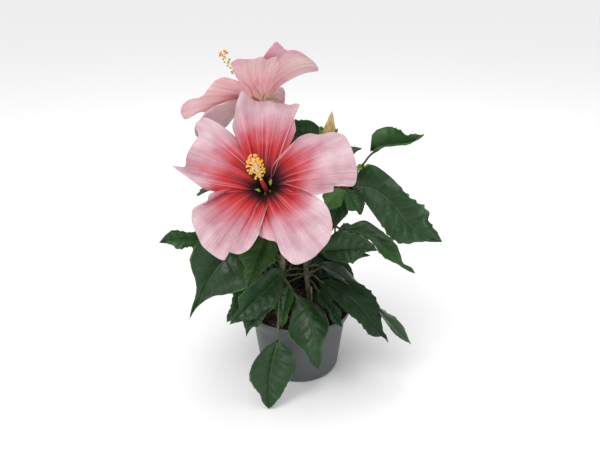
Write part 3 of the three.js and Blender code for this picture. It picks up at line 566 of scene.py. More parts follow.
def limb_radius(name, t):
    spec = LIMBS[name]
    return mix(*spec["radii"], t) * (1 + (spec.get("flare", 1) - 1) * np.exp(-18 * t))


def limb_at(name, height):
    """The place on a limb's centre line at a height, with the limb's direction and radius there."""
    curve = limb_curve(name)
    low, high = 0.0, 1.0
    for _ in range(30):
        t = (low + high) / 2
        if curve.at(t)[0][2] < height:
            low = t
        else:
            high = t
    return curve.at(low)[0], curve.along(low)[0], limb_radius(name, low)


def spur_at(mass, height):
    """Where a stalk leaves its mass's spur, beside the limb or beyond its tip."""
    curve = limb_curve(mass["limb"])
    tip = curve.at(1)[0]
    if height > tip[2]:
        onward = curve.along(1)[0]
        return tip + onward * (height - tip[2]) / onward[2]
    centre, along, radius = limb_at(mass["limb"], height)
    beside = heading(mass["side"], 0)
    beside = unit(beside - along * beside.dot(along))
    return centre + beside * (radius + STALK["clear"] + STALK["spur"])


def leaf_half(s, b):
    """A plain leaf's half width along it, as a part of its widest."""
    a = LEAF["shoulder"]
    peak = (a / (a + b)) ** a * (b / (a + b)) ** b
    return np.maximum(s, 0) ** a * np.maximum(1 - s, 0) ** b / peak


def leaf_frame(foot, spec, s):
    """A blade's spine and the directions across and over it, for an array of s."""
    turn, pitch, droop, roll = spec["blade"]
    length = spec["size"][0]
    p, d, r = math.radians(pitch), math.radians(droop), math.radians(roll)
    ahead, left = heading(turn, 0), heading(turn + 90, 0)
    rise = p - d * s
    run = (math.sin(p) - np.sin(rise)) / d if d else s * math.cos(p)
    climb = (np.cos(rise) - math.cos(p)) / d if d else s * math.sin(p)
    spine = foot + run[..., None] * length * ahead
    spine[..., 2] += climb * length
    up = -np.sin(rise)[..., None] * ahead
    up[..., 2] += np.cos(rise)
    across = left * math.cos(r) + up * math.sin(r)
    over = up * math.cos(r) - left * math.sin(r)
    return spine, across, over


def plain_blade(foot, spec, s, t):
    """The blade as the packed model has it, by which leaves keep clear of each other."""
    spine, across, over = leaf_frame(foot, spec, s)
    half = np.maximum(spec["size"][1] / 2 * leaf_half(s, spec["taper"]), mix(LEAF["base"], LEAF["tip"], s))
    f = math.radians(spec["fold"])
    side = (t * half * math.cos(f))[..., None] * across
    return spine + side + (np.abs(t) * half * math.sin(f))[..., None] * over


def stalk_ends(mass, spec):
    """Where a leaf's stalk starts and where it meets the blade."""
    start = spur_at(mass, spec["height"])
    turn, rise, length = spec["stalk"]
    return start, start + heading(turn, rise) * length


def leaf_marks(mass, spec):
    """Places along a leaf's stalk and over its blade, to measure how near others come."""
    start, foot = stalk_ends(mass, spec)
    s, t = np.meshgrid(np.linspace(0.05, 1, 10), np.linspace(-1, 1, 5), indexing="ij")
    along = np.linspace(0.4, 1, 4)[:, None]
    return np.vstack([start + (foot - start) * along, plain_blade(foot, spec, s.ravel(), t.ravel())])


def grow(mass, taken):
    """Grows the leaves of one mass by its seeded rule. A leaf with no room is left out."""
    random = dice(mass["seed"])
    rule = {**GROWTH, **mass}

    def between(name):
        return mix(*rule[name], next(random))

    leaves = []
    for k in range(mass["count"]):
        for _ in range(GROWTH["tries"]):
            share = (k + 0.5 + (next(random) - 0.5) * 0.5) / mass["count"]
            turn = mass["side"] + mass["fan"] * (share - 0.5)
            length = between("blade")
            low, high = mass["span"]
            height = mix(low + 1, high - 1, (k * 0.618 + 0.3 + next(random) * 0.2) % 1)
            stalk = [turn, between("rise"), between("stalk")]
            blade = [turn + (next(random) - 0.5) * rule["twist"], between("pitch"), between("droop"),
                     (next(random) - 0.5) * 2 * rule["roll"]]
            spec = leaf(height, stalk, blade, [length, length * between("slimness")])
            marks = leaf_marks(mass, spec)
            others = np.vstack(taken)
            near = np.linalg.norm(marks[:, None] - others[None], axis=2).min()
            if near > rule["elbow"]:
                leaves.append(spec)
                taken.append(marks)
                break
    for k in mass.get("bowed", []):
        leaves[k]["blade"][1] -= GROWTH["bow"]
    return leaves


def petal_line(shape, s):
    """Middle line of a petal: distance from the bloom's axis and height above the eye."""
    flat, back, length = shape.get("flat", PETAL["flat"]), shape.get("back", PETAL["back"]), shape["length"]
    steps = PETAL["steps"]
    r = np.full(np.shape(s), float(PETAL["root"]))
    z = np.full(np.shape(s), float(PETAL["depth"]))
    for i in range(steps):
        q = s * (i + 0.5) / steps
        opened = smoothstep(q * length, 0, PETAL["opening"])
        slope = np.radians(mix(PETAL["start"], flat, opened) + (back - flat) * q ** 3)
        r = r + np.cos(slope) * length * s / steps
        z = z + np.sin(slope) * length * s / steps
    return r, z


def petal_half(width, s):
    """Half the width of a packed petal along it, from its claw to its rounded end."""
    filled = np.sin(math.pi / 2 * np.minimum(1, s / 0.8)) ** 1.3
    rounded = 1 - 0.1 * np.maximum(0, (s - 0.8) / 0.2) ** 2
    return width / 2 * mix(PETAL["claw_share"], 1, filled) * rounded


def petal_place(bloom, shape, reach, run, wide, height):
    """Places on a petal: a reach along its middle line, then so wide beside it and so high over it."""
    eye, out, up, right = bloom_frame(bloom)
    turn = math.radians(shape["turn"])
    outward = up * math.cos(turn) + right * math.sin(turn)
    sideways = right * math.cos(turn) - up * math.sin(turn)
    r, z = petal_line(shape, reach)
    bend = r + PETAL["spread"] * run * run
    angle = wide / bend
    place = eye + (r - bend * (1 - np.cos(angle)))[..., None] * outward
    place = place + (bend * np.sin(angle))[..., None] * sideways
    return place + (z + height)[..., None] * out


def petal_surface(bloom, shape, phase, s, t):
    """The petal of the packed model: it wraps round the axis at its claw and spreads further out."""
    short = PETAL["short"] * smoothstep(s, 0, 0.6)
    reach = s * (1 - short * np.abs(t) ** 2.4)
    height = PETAL["ruffle"] * s ** 3 * np.sin(7 * t + phase) * np.abs(t)
    height = height + shape.get("lift", PETAL["lift"]) * t * s
    return petal_place(bloom, shape, reach, s, t * petal_half(shape["width"], s), height)


def rimmed_petal(bloom, shape, phase, s, t):
    """The petal out to its own rim. The columns of t fan out from the claw to places on the rim.

    Returns the places, how far each lies from the eye as a part of the petal's length, and its side.
    """
    rim = Curve([(across, along, 0) for across, along in shape["rim"]]).at((t[0] + 1) / 2)
    # Each claw is narrow where it leaves the calyx, so that gaps between the petals show its green.
    pinch = 1 - PETAL["pinch"] * np.exp(-((rim[:, 1] * s - PETAL["pinch_at"]) / PETAL["pinch_reach"]) ** 2)
    wide = (rim[:, 0] * s ** 0.78 + PETAL["claw"] * t * (1 - s) ** 3) * pinch
    reach = rim[:, 1] * s / shape["length"]
    side = 2 * wide / shape["width"]
    height = shape.get("lift", -PETAL["lift"]) * np.clip(side, -1, 1) * reach
    height = height + PETAL["ruffle"] * reach ** 3 * np.sin(7 * side + phase) * np.abs(side)
    return petal_place(bloom, shape, reach, reach, wide, height), reach, side


class Parts:
    """Gathers closed surfaces, with a finish for each face, into one mesh."""

    def __init__(self):
        self.places, self.faces, self.finish, self.uv = [], [], [], []
        self.count = 0

    def add(self, places, faces, finish=0, uv=None):
        places = np.asarray(places, float).reshape(-1, 3)
        self.places.append(places)
        self.faces += [[int(corner) + self.count for corner in face] for face in faces]
        self.finish += np.broadcast_to(finish, len(faces)).tolist()
        corners = np.zeros((len(places), 2)) if uv is None else np.asarray(uv, float).reshape(-1, 2)
        self.uv.append(corners)
        self.count += len(places)

    def piece(self, name, finishes, smooth=True):
        mesh = bpy.data.meshes.new(name)
        places = np.vstack(self.places) * MM
        mesh.from_pydata(places.tolist(), [], self.faces)
        for finish in finishes:
            mesh.materials.append(finish)
        mesh.polygons.foreach_set("material_index", np.array(self.finish, np.int32))
        mesh.polygons.foreach_set("use_smooth", np.full(len(self.faces), smooth))
        corners = np.empty(len(mesh.loops), np.int32)
        mesh.loops.foreach_get("vertex_index", corners)
        layer = mesh.uv_layers.new(name=UV_NAME)
        layer.data.foreach_set("uv", np.vstack(self.uv)[corners].ravel())
        mesh.update()
        made = bpy.data.objects.new(name, mesh)
        bpy.context.scene.collection.objects.link(made)
        return made


def dress(made, slot, *nodes):
    """The piece rides on the plant and hides the packed model's parts for its nodes. Its slot is not used."""
    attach(made, "root")
    if nodes:
        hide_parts(*nodes)
    return made


def add_turned(parts, rings, finish=0, uv=None):
    """A closed surface through rings of places. Its first and last rings close round a pole each."""
    rings = np.asarray(rings, float)
    rows, sides = rings.shape[:2]
    i, j = np.meshgrid(np.arange(rows - 1), np.arange(sides), indexing="ij")
    a, b = i * sides + j, i * sides + (j + 1) % sides
    faces = np.stack([a, b, b + sides, a + sides], -1).reshape(-1, 4).tolist()
    foot, tip, last = rows * sides, rows * sides + 1, (rows - 1) * sides
    for k in range(sides):
        onward = (k + 1) % sides
        faces += [[foot, onward, k], [tip, last + k, last + onward]]
    places = np.vstack([rings.reshape(-1, 3), rings[0].mean(axis=0), rings[-1].mean(axis=0)])
    if uv is not None:
        uv = np.asarray(uv, float)
        uv = np.vstack([uv.reshape(-1, 2), uv[0].mean(axis=0), uv[-1].mean(axis=0)])
    parts.add(places, faces, finish, uv)


def frames_along(curve, t):
    """Two directions square to a curve at each t, turning as little as they can."""
    tangents = curve.along(t)
    side = np.array([1.0, 0, 0])
    sides = []
    for tangent in tangents:
        side = unit(side - tangent * side.dot(tangent))
        sides.append(side)
    sides = np.array(sides)
    return sides, np.cross(tangents, sides)


def add_tube(parts, curve, radius_at, sides, rows, finish=0, relief=None):
    """A closed tube along a curve, in so many even rows or in rows at given places."""
    ts = np.linspace(0, 1, rows + 1) if isinstance(rows, int) else rows
    across, over = frames_along(curve, ts)
    a = circle(sides)
    radius = np.asarray(radius_at(ts), float)[:, None] * np.ones(sides)
    if relief is not None:
        radius = radius + relief(ts[:, None], a[None, :])
    spokes = np.cos(a)[None, :, None] * across[:, None] + np.sin(a)[None, :, None] * over[:, None]
    uv = np.stack(np.broadcast_arrays(a[None, :] / (2 * math.pi), ts[:, None]), -1)
    add_turned(parts, curve.at(ts)[:, None] + spokes * radius[..., None], finish, uv)


def normals_of(grid):
    """The direction square to a grid of places at each one, with a tiny push where two places meet."""
    push = 1e-12
    return unit(np.cross(np.gradient(grid, axis=0), np.gradient(grid, axis=1)) + push)


def add_slab(parts, top, thickness, finish_top, finish_under, uv):
    """A thin closed sheet under a grid of places. Its top faces the grid's own normal."""
    rows, columns = top.shape[:2]
    under = top - normals_of(top) * thickness
    i, j = np.meshgrid(np.arange(rows - 1), np.arange(columns - 1), indexing="ij")
    a = (i * columns + j).ravel()
    tops = np.stack([a, a + columns, a + columns + 1, a + 1], -1)
    half = rows * columns
    unders = np.stack([half + a, half + a + 1, half + a + columns + 1, half + a + columns], -1)
    rim = [r * columns for r in range(rows)]
    rim += [(rows - 1) * columns + c for c in range(1, columns)]
    rim += [r * columns + columns - 1 for r in range(rows - 2, -1, -1)]
    rim += list(range(columns - 2, 0, -1))
    rim = np.array(rim)
    onward = np.roll(rim, -1)
    edges = np.stack([onward, rim, half + rim, half + onward], -1)
    finish_top = np.broadcast_to(finish_top, (rows - 1, columns - 1))
    finish_under = np.broadcast_to(finish_under, (rows - 1, columns - 1))
    finish = np.concatenate([finish_top.ravel(), finish_under.ravel(), np.full(len(edges), finish_top[0, 0])])
    faces = np.vstack([tops, unders, edges])
    flat = uv.reshape(-1, 2)
    parts.add(np.vstack([top.reshape(-1, 3), under.reshape(-1, 3)]), faces, finish, np.vstack([flat, flat]))


def shade(colour, k):
    """A colour made lighter or darker."""
    return tuple(min(1.0, c * k) for c in colour)


def hex_colour(code):
    """A linear colour from a screen colour written in hex."""
    parts = [int(code[i:i + 2], 16) / 255 for i in (1, 3, 5)]
    return tuple(c / 12.92 if c <= 0.04045 else ((c + 0.055) / 1.055) ** 2.4 for c in parts)


def linear(colour):
    """A linear colour, from one in hex or as it is."""
    return hex_colour(colour) if isinstance(colour, str) else tuple(colour)


class Finish:
    """A principled material, with the nodes that its look is built from."""

    def __init__(self, name, colour, roughness, **more):
        self.made = bpy.data.materials.new(name)
        self.made.use_nodes = True
        self.nodes, self.links = self.made.node_tree.nodes, self.made.node_tree.links
        self.shader = self.nodes["Principled BSDF"]
        self.put(self.shader, {"Base Color": (*linear(colour), 1), "Roughness": roughness, **more})

    def put(self, node, sockets):
        """Sets each named socket to a value, or links it to another node's socket."""
        for name, given in sockets.items():
            if isinstance(given, bpy.types.NodeSocket):
                self.links.new(given, node.inputs[name])
            else:
                node.inputs[name].default_value = given

    def look(self, **sockets):
        self.put(self.shader, {name.replace("_", " "): given for name, given in sockets.items()})

    def noise(self, scale, detail=3, stretch=None, roughness=0.5, uv=False):
        """Noise over the object's own places or its UVs, stretched where it says so."""
        coordinates = self.nodes.new("ShaderNodeUVMap" if uv else "ShaderNodeTexCoord")
        if uv:
            coordinates.uv_map = UV_NAME
        vector = coordinates.outputs["UV" if uv else "Object"]
        texture = self.nodes.new("ShaderNodeTexNoise")
        if stretch:
            mapping = self.nodes.new("ShaderNodeMapping")
            self.put(mapping, {"Scale": stretch, "Vector": vector})
            vector = mapping.outputs["Vector"]
        self.put(texture, {"Scale": scale, "Detail": detail, "Roughness": roughness, "Vector": vector})
        return texture.outputs["Fac"]

    def ramp(self, factor, stops):
        node = self.nodes.new("ShaderNodeValToRGB")
        elements = node.color_ramp.elements
        while len(elements) < len(stops):
            elements.new(0.5)
        for element, (place, colour) in zip(elements, stops):
            element.position = place
            element.color = (*linear(colour), 1)
        self.put(node, {"Fac": factor})
        return node.outputs["Color"]

    def tones(self, factor, colour, stops):
        """A ramp whose tones are each a share of one colour, or a colour of their own."""
        return self.ramp(factor, [
            (place, tone if isinstance(tone, str) else shade(colour, tone)) for place, tone in stops])

    def spread(self, factor, low, high, **reach):
        """Spreads a factor over the values from low to high."""
        node = self.nodes.new("ShaderNodeMapRange")
        reach = {name.replace("_", " "): value for name, value in reach.items()}
        self.put(node, {"To Min": low, "To Max": high, "Value": factor, **reach})
        return node.outputs["Result"]

    def sum(self, operation, first, second):
        node = self.nodes.new("ShaderNodeMath")
        node.operation = operation
        self.put(node, {0: first, 1: second})
        return node.outputs[0]

    def blend(self, kind, first, second, share):
        if isinstance(second, str):
            second = (*linear(second), 1)
        node = self.nodes.new("ShaderNodeMix")
        node.data_type = "RGBA"
        node.blend_type = kind
        self.put(node, {"A": first, "B": second, "Factor": share})
        return node.outputs["Result"]

    def bump(self, height, distance, before=None):
        node = self.nodes.new("ShaderNodeBump")
        self.put(node, {"Distance": distance, "Height": height})
        if before is not None:
            self.put(node, {"Normal": before})
        self.look(Normal=node.outputs["Normal"])
        return node.outputs["Normal"]


def mottled(name, colour=None):
    """A finish whose colour varies softly, with a fine grain in its surface or painted light that it gives
    off.
    """
    look = MOTTLES[name]
    colour = linear(look["colour"] if colour is None else colour)
    finish = Finish(name, colour, look["roughness"])
    stops = [(0.3, 1 - look["spread"]), (0.7, 1 + look["spread"])]
    finish.look(Base_Color=finish.tones(finish.noise(look["scale"], 4), colour, stops))
    if "grain" in look:
        finish.bump(finish.noise(look["grain"], 2), look["height"])
    # Painted light: the finish gives off light of its own, though it is no lamp.
    if "painted_glow" in look:
        finish.look(Emission_Color=(*linear(look["painted_glow"]), 1), Emission_Strength=look["painted_glow_strength"])
    return finish.made


def turned_rings(profile, sides):
    """Rings round the pot's axis for a profile of radius and height."""
    a = circle(sides)
    r, z = np.array(profile, float).T
    return np.stack([r[:, None] * np.cos(a), r[:, None] * np.sin(a), z[:, None] * np.ones(sides)], -1)


def drill(pot):
    """Cuts the drain holes through the pot's floor."""
    bits = Parts()
    radius, deep, ring = POT["hole_radius"], POT["floor"], POT["hole_ring"]
    shaft = turned_rings([(radius, -deep), (radius, 2 * deep)], POT["hole_sides"])
    for turn in circle(POT["holes"]):
        add_turned(bits, shaft + [ring * math.cos(turn), ring * math.sin(turn), 0])
    bits = bits.piece("drain_bits", [])
    cut = pot.modifiers.new("drain_holes", "BOOLEAN")
    cut.operation = "DIFFERENCE"
    cut.object = bits
    bpy.context.view_layer.update()
    holed = bpy.data.meshes.new_from_object(pot.evaluated_get(bpy.context.evaluated_depsgraph_get()))
    pot.modifiers.clear()
    pot.data = holed
    bpy.data.objects.remove(bits)


def make_pot(settings):
    """The pot: a turned, thin-walled shell with a rounded lip that flares out, and drain holes."""
    foot, heel, waist, rim_radius = (POT[f"{ring}_radius"] for ring in ("foot", "heel", "under_lip", "rim"))
    wall, rise, under, top = (POT[name] for name in ("wall", "heel", "under_lip", "height"))
    (out, up), (inward, down) = POT["foot_round"], POT["heel_round"]
    outer = [(foot, 0.0), (foot + out, up), (heel - inward, rise - down), (heel, rise)]
    outer += [(mix(heel, waist, k), mix(rise, under, k)) for k in np.linspace(0.04, 0.86, 20)]
    waist, below = outer[-1]
    for k in np.linspace(0.1, 1, 10):
        flare = mix(k, float(smoothstep(k, 0, 1)), POT["flare"])
        outer.append((mix(waist, rim_radius, flare), mix(below, top - POT["lip"] + POT["flare_up"], k)))
    bead = wall / 2
    rim = [(rim_radius - bead + bead * math.cos(turn), top - bead + bead * math.sin(turn))
           for turn in np.linspace(0, math.pi, 7)]
    inner = [(r - wall, z + 0.5) for r, z in reversed(outer[2:])]
    floor = [(foot - wall, POT["floor"]), (foot / 2, POT["floor"])]
    parts = Parts()
    add_turned(parts, turned_rings([(foot / 2, 0), *outer, *rim, *inner, *floor], settings.sides))
    finish = Finish("pot_plastic", settings.colour, PLASTIC["roughness"])
    tone = finish.noise(PLASTIC["tone"], 5)
    finish.look(Base_Color=finish.tones(tone, settings.colour, PLASTIC["tones"]))
    smear = finish.noise(PLASTIC["smear"], 4, stretch=PLASTIC["stretch"])
    finish.look(Roughness=finish.spread(smear, *PLASTIC["matt"]))
    finish.bump(finish.noise(PLASTIC["grain"], 2), PLASTIC["grain_height"])
    pot = parts.piece("pot_shell", [finish.made])
    drill(pot)
    dress(pot, "pot", "pot")


def soil_top(x, y):
    """Height of the soil's lumpy top, which is flat where a stem stands."""
    edge = np.minimum(1, np.hypot(x, y) / (POT["under_lip_radius"] - 2))
    lumps = np.sin(x * 0.47 + 1.3) * np.cos(y * 0.41) + 0.5 * np.sin(x * 0.93 - y * 0.77)
    near = np.min([np.hypot(x - fx, y - fy) for fx, fy in FEET], axis=0) / SOIL["foot"]
    rough = smoothstep(near, 1, 2)
    mound = SOIL["mound"] * mix(1, 1 - edge ** 2, rough)
    hx, hy = SOIL["heap_at"]
    heap = SOIL["heap"] * np.exp(-((x - hx) ** 2 + (y - hy) ** 2) / (2 * SOIL["heap_spread"] ** 2))
    return SOIL["top"] + mound + heap + rough * (SOIL["lump"] * 0.6 * lumps - 0.3)


def make_soil(settings):
    """The soil's top is a fine lumpy sheet, strewn with crumbs and a few pale grains."""
    random = np.random.default_rng(SOIL["seed"])
    top_radius = POT["rim_radius"] - POT["wall"] - SOIL["inset"]
    rings = np.linspace(top_radius, 0.6, SOIL["rows"])
    a = circle(SOIL["sides"])
    x, y = rings[:, None] * np.cos(a), rings[:, None] * np.sin(a)
    wander = sum(np.sin(x * k + p) * np.cos(y * k * 0.93 + q) / k for k, p, q in SOIL["waves"])
    top = np.stack([x, y, soil_top(x, y) + SOIL["wander"] * wander], -1)
    floor, clear, lip = POT["floor"] + GAP, SOIL["clear"], POT["under_lip"]
    foot, heel, waist = (POT[f"{ring}_radius"] for ring in ("foot", "heel", "under_lip"))
    under = turned_rings([
        (foot / 2, floor), (foot - clear, floor), (heel - clear, POT["heel"] + clear), (waist - clear, lip),
        (top_radius - 0.5, lip + 2.5)], SOIL["sides"])
    parts = Parts()
    add_turned(parts, np.vstack([under, top]))
    finish = Finish("soil", settings.soil, EARTH["roughness"])
    tone = finish.noise(EARTH["tone"], 6, roughness=0.7)
    finish.look(Base_Color=finish.tones(tone, settings.soil, EARTH["tones"]))
    finish.bump(finish.noise(EARTH["grain"], 5), EARTH["grain_height"])
    dress(parts.piece("soil_bed", [finish.made]), "soil", "soil")

    crumbs = Parts()
    knob = np.array([[1, 0, 0], [0, 1, 0], [-1, 0, 0], [0, -1, 0], [0, 0, 1], [0, 0, -1]], float)
    shell = np.array([[0, 1, 4], [1, 2, 4], [2, 3, 4], [3, 0, 4], [1, 0, 5], [2, 1, 5], [3, 2, 5], [0, 3, 5]])
    for _ in range(settings.crumbs):
        r = (top_radius - CRUMB["wall"]) * math.sqrt(random.random())
        turn = random.random() * 2 * math.pi
        cx, cy = r * math.cos(turn), r * math.sin(turn)
        if np.hypot(*(np.array(FEET) - [cx, cy]).T).min() < CRUMB["stems"]:
            continue
        size = CRUMB["least"] + CRUMB["more"] * random.random() ** 2.5
        shape = knob * random.uniform(*CRUMB["uneven"], knob.shape) * size
        shape = shape * random.uniform(*CRUMB["squash"], 3)
        spin = random.random() * 2 * math.pi
        c, s = math.cos(spin), math.sin(spin)
        shape = shape @ np.array([[c, s, 0], [-s, c, 0], [0, 0, 1]])
        kind = random.choice([0, 1, 2], p=CRUMB["shares"])
        height = float(soil_top(np.array(cx), np.array(cy)))
        crumbs.add(shape + [cx, cy, height + size * CRUMB["up"]], shell, kind)
    kinds = [mottled(name) for name in ("crumb_dark", "crumb_brown", "crumb_pale")]
    dress(crumbs.piece("soil_crumbs", kinds, smooth=False), "soil")


def bark_finish(name, colour, streak):
    """Bark with long streaks, pale pores and fine ridges."""
    finish = Finish(name, colour, RIND["roughness"])
    long = finish.noise(RIND["tone"], 6, stretch=RIND["stretch"], roughness=0.65)
    tones = [shade(colour, RIND["dark"]), colour, streak, shade(linear(streak), RIND["pale"])]
    finish.look(Base_Color=finish.ramp(long, list(zip(RIND["stops"], tones))))
    ridges = finish.bump(long, RIND["ridge_height"])
    finish.bump(finish.noise(RIND["grain"], 3), RIND["grain_height"], before=ridges)
    return finish.made


def make_stems(settings):
    """Trunks and boughs with bark relief, leaf scars and swollen joints."""
    old = bark_finish("bark", settings.bark, "#7d7455")
    young = bark_finish("young_bark", settings.shoot, "#5f5138")
    rise, node = settings.relief / MM, BARK["node"]
    for order, (name, spec) in enumerate(LIMBS.items()):
        curve = limb_curve(name)
        length = np.linalg.norm(np.diff(curve.at(np.linspace(0, 1, 40)), axis=0), axis=1).sum()

        def relief(t, a, order=order, length=length):
            run = t * length
            ridges = np.sin(5 * a + 0.35 * run + order) * np.sin(0.9 * run + 2 * np.sin(3 * a))
            round_stem = 0.7 + 0.5 * np.cos(a - order - run // node * BARK["turn"])
            scars = np.exp(-((run % node) - node / 2) ** 2 / BARK["scar"]) * round_stem
            return rise * (ridges + 0.4 * np.sin(11 * a + run * 1.7) + 2.0 * scars)

        parts = Parts()
        ts = np.linspace(0, 1, int(length / BARK["row"]) + 1)
        if "stem" in spec:
            ts = ts[ts * length > limb_radius(spec["stem"], 0.9) * 0.1]
        add_tube(parts, curve, lambda t, name=name: limb_radius(name, t), BARK["sides"], ts, relief=relief)
        made = parts.piece(f"{name}_bark", [young if "stem" in spec else old])
        dress(made, "bough" if "stem" in spec else "trunk", name)
    twigs = Parts()
    for spec in TWIGS:
        add_tube(twigs, Curve(spec["path"]), lambda t, spec=spec: mix(*spec["radii"], t), 12, 24,
                 finish=int("green" in spec))
    dress(twigs.piece("bare_twigs", [young, mottled("green_twig")]), "bough")


def leaf_rows(veins):
    """Rows of a blade, close together on each side vein, with the veins' own places."""
    rows = [0.0, 0.02, 1.0]
    roots = np.linspace(0.07, 0.84, veins)
    half = LEAF["vein"]
    for root, onward in zip(roots, [*roots[1:], 1.0]):
        rows += [root - half, root + half, *np.linspace(root + half, onward - half, 7)[1:-1]]
    return np.array(sorted(set(np.round(rows, 5)))), roots


# A blade's columns from its midrib out to its rim, and the finishes that its faces may take.
LEAF_COLUMNS = np.array([0, 0.012, 0.05, 0.11, 0.19, 0.29, 0.4, 0.52, 0.64, 0.76, 0.86, 0.95, 1.0])
FINISH = list(LEAF_ROUGHNESS)


def rim_of(spec, random):
    """Half widths to each side of the midrib, and the midrib's own shift, along a blade."""
    places = np.linspace(0, 1, 101)
    if spec["rim"]:
        width, left, right = RIMS[spec["rim"]]
    else:
        width, left, right = RIMS[COMMON_RIMS[int(random.integers(len(COMMON_RIMS)))]]
        if random.random() < 0.5:
            left, right = right, left
    scale = spec["size"][1] / width
    sides = []
    for side in (left, right):
        outline = Curve([(0, 0, 0), *[(along, out, 0) for along, out in side], (1, 0, 0)])
        along, out, _ = outline.at(np.linspace(0, 1, 200)).T
        sides.append(np.interp(places, np.maximum.accumulate(along), out) * scale)
    middle = (sides[0] - sides[1]) / 2
    basis = np.stack([places * (1 - places), places ** 2 * (1 - places), places * (1 - places) ** 2], -1)
    shift = basis @ np.linalg.lstsq(basis, middle, rcond=None)[0]
    return places, sides[0] - shift, sides[1] + shift, shift


def blade_grid(foot, spec, rows, roots, columns, relief, random):
    """Places of a blade with sunk veins, a toothed rim and a wavy surface, the way up at each, and UVs."""
    width, small = spec["size"][1], smallness(spec)
    r, t = np.meshgrid(rows, columns, indexing="ij")
    side = np.abs(t)
    s = np.clip(r + LEAF["sweep"] * side ** 0.85 * r * (1 - r), 0, 1)
    heel = spec["heel"] * side * (1 - r) ** 8
    flat_base, flat_tip = LEAF["flat"]
    fade = smoothstep(r, 0, flat_base) * smoothstep(1 - r, 0, flat_tip)
    # Coarse teeth point to the tip, on the outer half of the rim, and every leaf has its own.
    fewest, more = LEAF["teeth"]
    teeth = fewest + more * random.random()
    saw = (s * teeth * 2 + 0.5 * (t > 0) + random.random()) % 1
    toothed = smoothstep(s, *LEAF["bare_base"])
    notch = (saw ** LEAF["hook"] - LEAF["hollow"]) * toothed * smoothstep(1 - s, *LEAF["bare_tip"])
    bite = LEAF["smooth_bite" if spec["rim"] in SMOOTH_RIMS else "bite"]
    places, left, right, shift = rim_of(spec, random)
    half = np.where(t > 0, np.interp(s, places, left), np.interp(s, places, right))
    half = np.maximum(half * (1 + bite * notch * side ** 5), LEAF["least"] * (1 - s))
    spine, across, over = leaf_frame(foot, spec, s - heel)
    fold = math.radians(spec["fold"])
    place = spine + (t * half * math.cos(fold) + np.interp(s, places, shift))[..., None] * across
    soft = np.sqrt(side ** 2 + LEAF["crease"] ** 2) - LEAF["crease"]
    bulge = half * math.sin(fold) * soft + LEAF["swell"] * half * np.sin(math.pi * np.minimum(1, side * 1.05))
    nearest = np.abs(r[..., None] - roots).min(axis=-1)
    quilt = 1 - np.exp(-(nearest / LEAF["quilt"]) ** 2)
    quilt = quilt * np.sin(math.pi * np.clip(side * 1.02, 0, 1)) ** 0.6
    sunk = relief * small * LEAF["relief"] * (quilt - 1)
    phases = wave_starts(random, 4)
    waves = LEAF["wave"] * width * side ** 2 * sum(
        high * np.sin(s * along + t * aside + phase) for (high, along, aside), phase in zip(WAVES, phases))
    along, aside = LEAF["cockles"]
    cockle = LEAF["cockle"] * small * np.sin(s * along + phases[2]) * np.sin(t * aside + phases[3]) * side
    place = place + (bulge + (sunk + waves + cockle) * fade)[..., None] * over
    return place, over, np.stack([t * 0.5 + 0.5, s], -1)


def blade_finish(spec, rows, roots, columns, random):
    """The finish of each face of a blade's top and of its underside."""
    tone = spec["tone"]
    if not tone:
        tone = "mid" if not spec["rim"] and random.random() > 0.6 else "dark"
    row_mid = (rows[1:] + rows[:-1]) / 2
    lines = np.abs(row_mid[:, None] - roots).min(axis=1) < LEAF["vein"] * 0.97
    out = np.abs((columns[1:] + columns[:-1]) / 2)
    tops = np.full((len(row_mid), len(out)), FINISH.index(tone))
    tops[np.ix_(lines, out < PAINT["vein_to"])] = FINISH.index("vein" if tone in ("dark", "mid") else tone)
    tops[:, out < LEAF_COLUMNS[1]] = FINISH.index("midrib")
    edge = np.ix_(row_mid > PAINT["edge_above"], out > PAINT["edge_from"])
    # A leaf in the deep tone, which is painted shade, has no bright edge.
    tops[edge] = FINISH.index("edge" if tone != "deep" else tone)
    unders = np.full(tops.shape, FINISH.index("under"))
    unders[np.ix_(lines, out < PAINT["under_vein_to"])] = FINISH.index("under_vein")
    return tops, unders


def smallness(spec):
    """How fine a leaf's relief and stalk are, up to 1 for a long leaf."""
    return min(1.0, spec["size"][0] / LEAF["long"])


def add_leaf(parts, stalks, mass, spec, settings, random, limb_start):
    """One blade and its stalk, which leaves the stem itself and runs on under the blade as its midrib."""
    start, foot = stalk_ends(mass, spec)
    rows, roots = leaf_rows(settings.veins)
    columns = np.concatenate([-LEAF_COLUMNS[:0:-1], LEAF_COLUMNS])
    place, over, uv = blade_grid(foot, spec, rows, roots, columns, settings.relief / MM, random)
    add_slab(parts, place, LEAF["thickness"], *blade_finish(spec, rows, roots, columns, random), uv)

    small, middle = smallness(spec), len(columns) // 2
    thick = STALK["radius"] * (0.75 + 0.35 * small)
    bowed = (start + foot) / 2 + [0, 0, STALK["bow"] * spec["stalk"][2]]
    rib = [place[k, middle] - over[k, middle] * below
           for k, below in zip(np.searchsorted(rows, MIDRIB["at"]), MIDRIB["below"])]
    curve = Curve([limb_start, start, bowed, *rib])
    stop = 3 / curve.spans

    def radius(q):
        bare = thick * (1 + 0.5 * np.exp(-(q / 0.04)) + 0.25 * np.exp(-((q - stop) / 0.03) ** 2))
        thin = mix(1.0, MIDRIB["thin"], np.clip((q - stop) / (1 - stop), 0, 1))
        rib_radius = mix(thick, MIDRIB["radius"] * small * thin, smoothstep(q, stop, stop + 0.06))
        return np.where(q < stop, bare, rib_radius)

    add_tube(stalks, curve, radius, STALK["sides"], STALK["rows"])


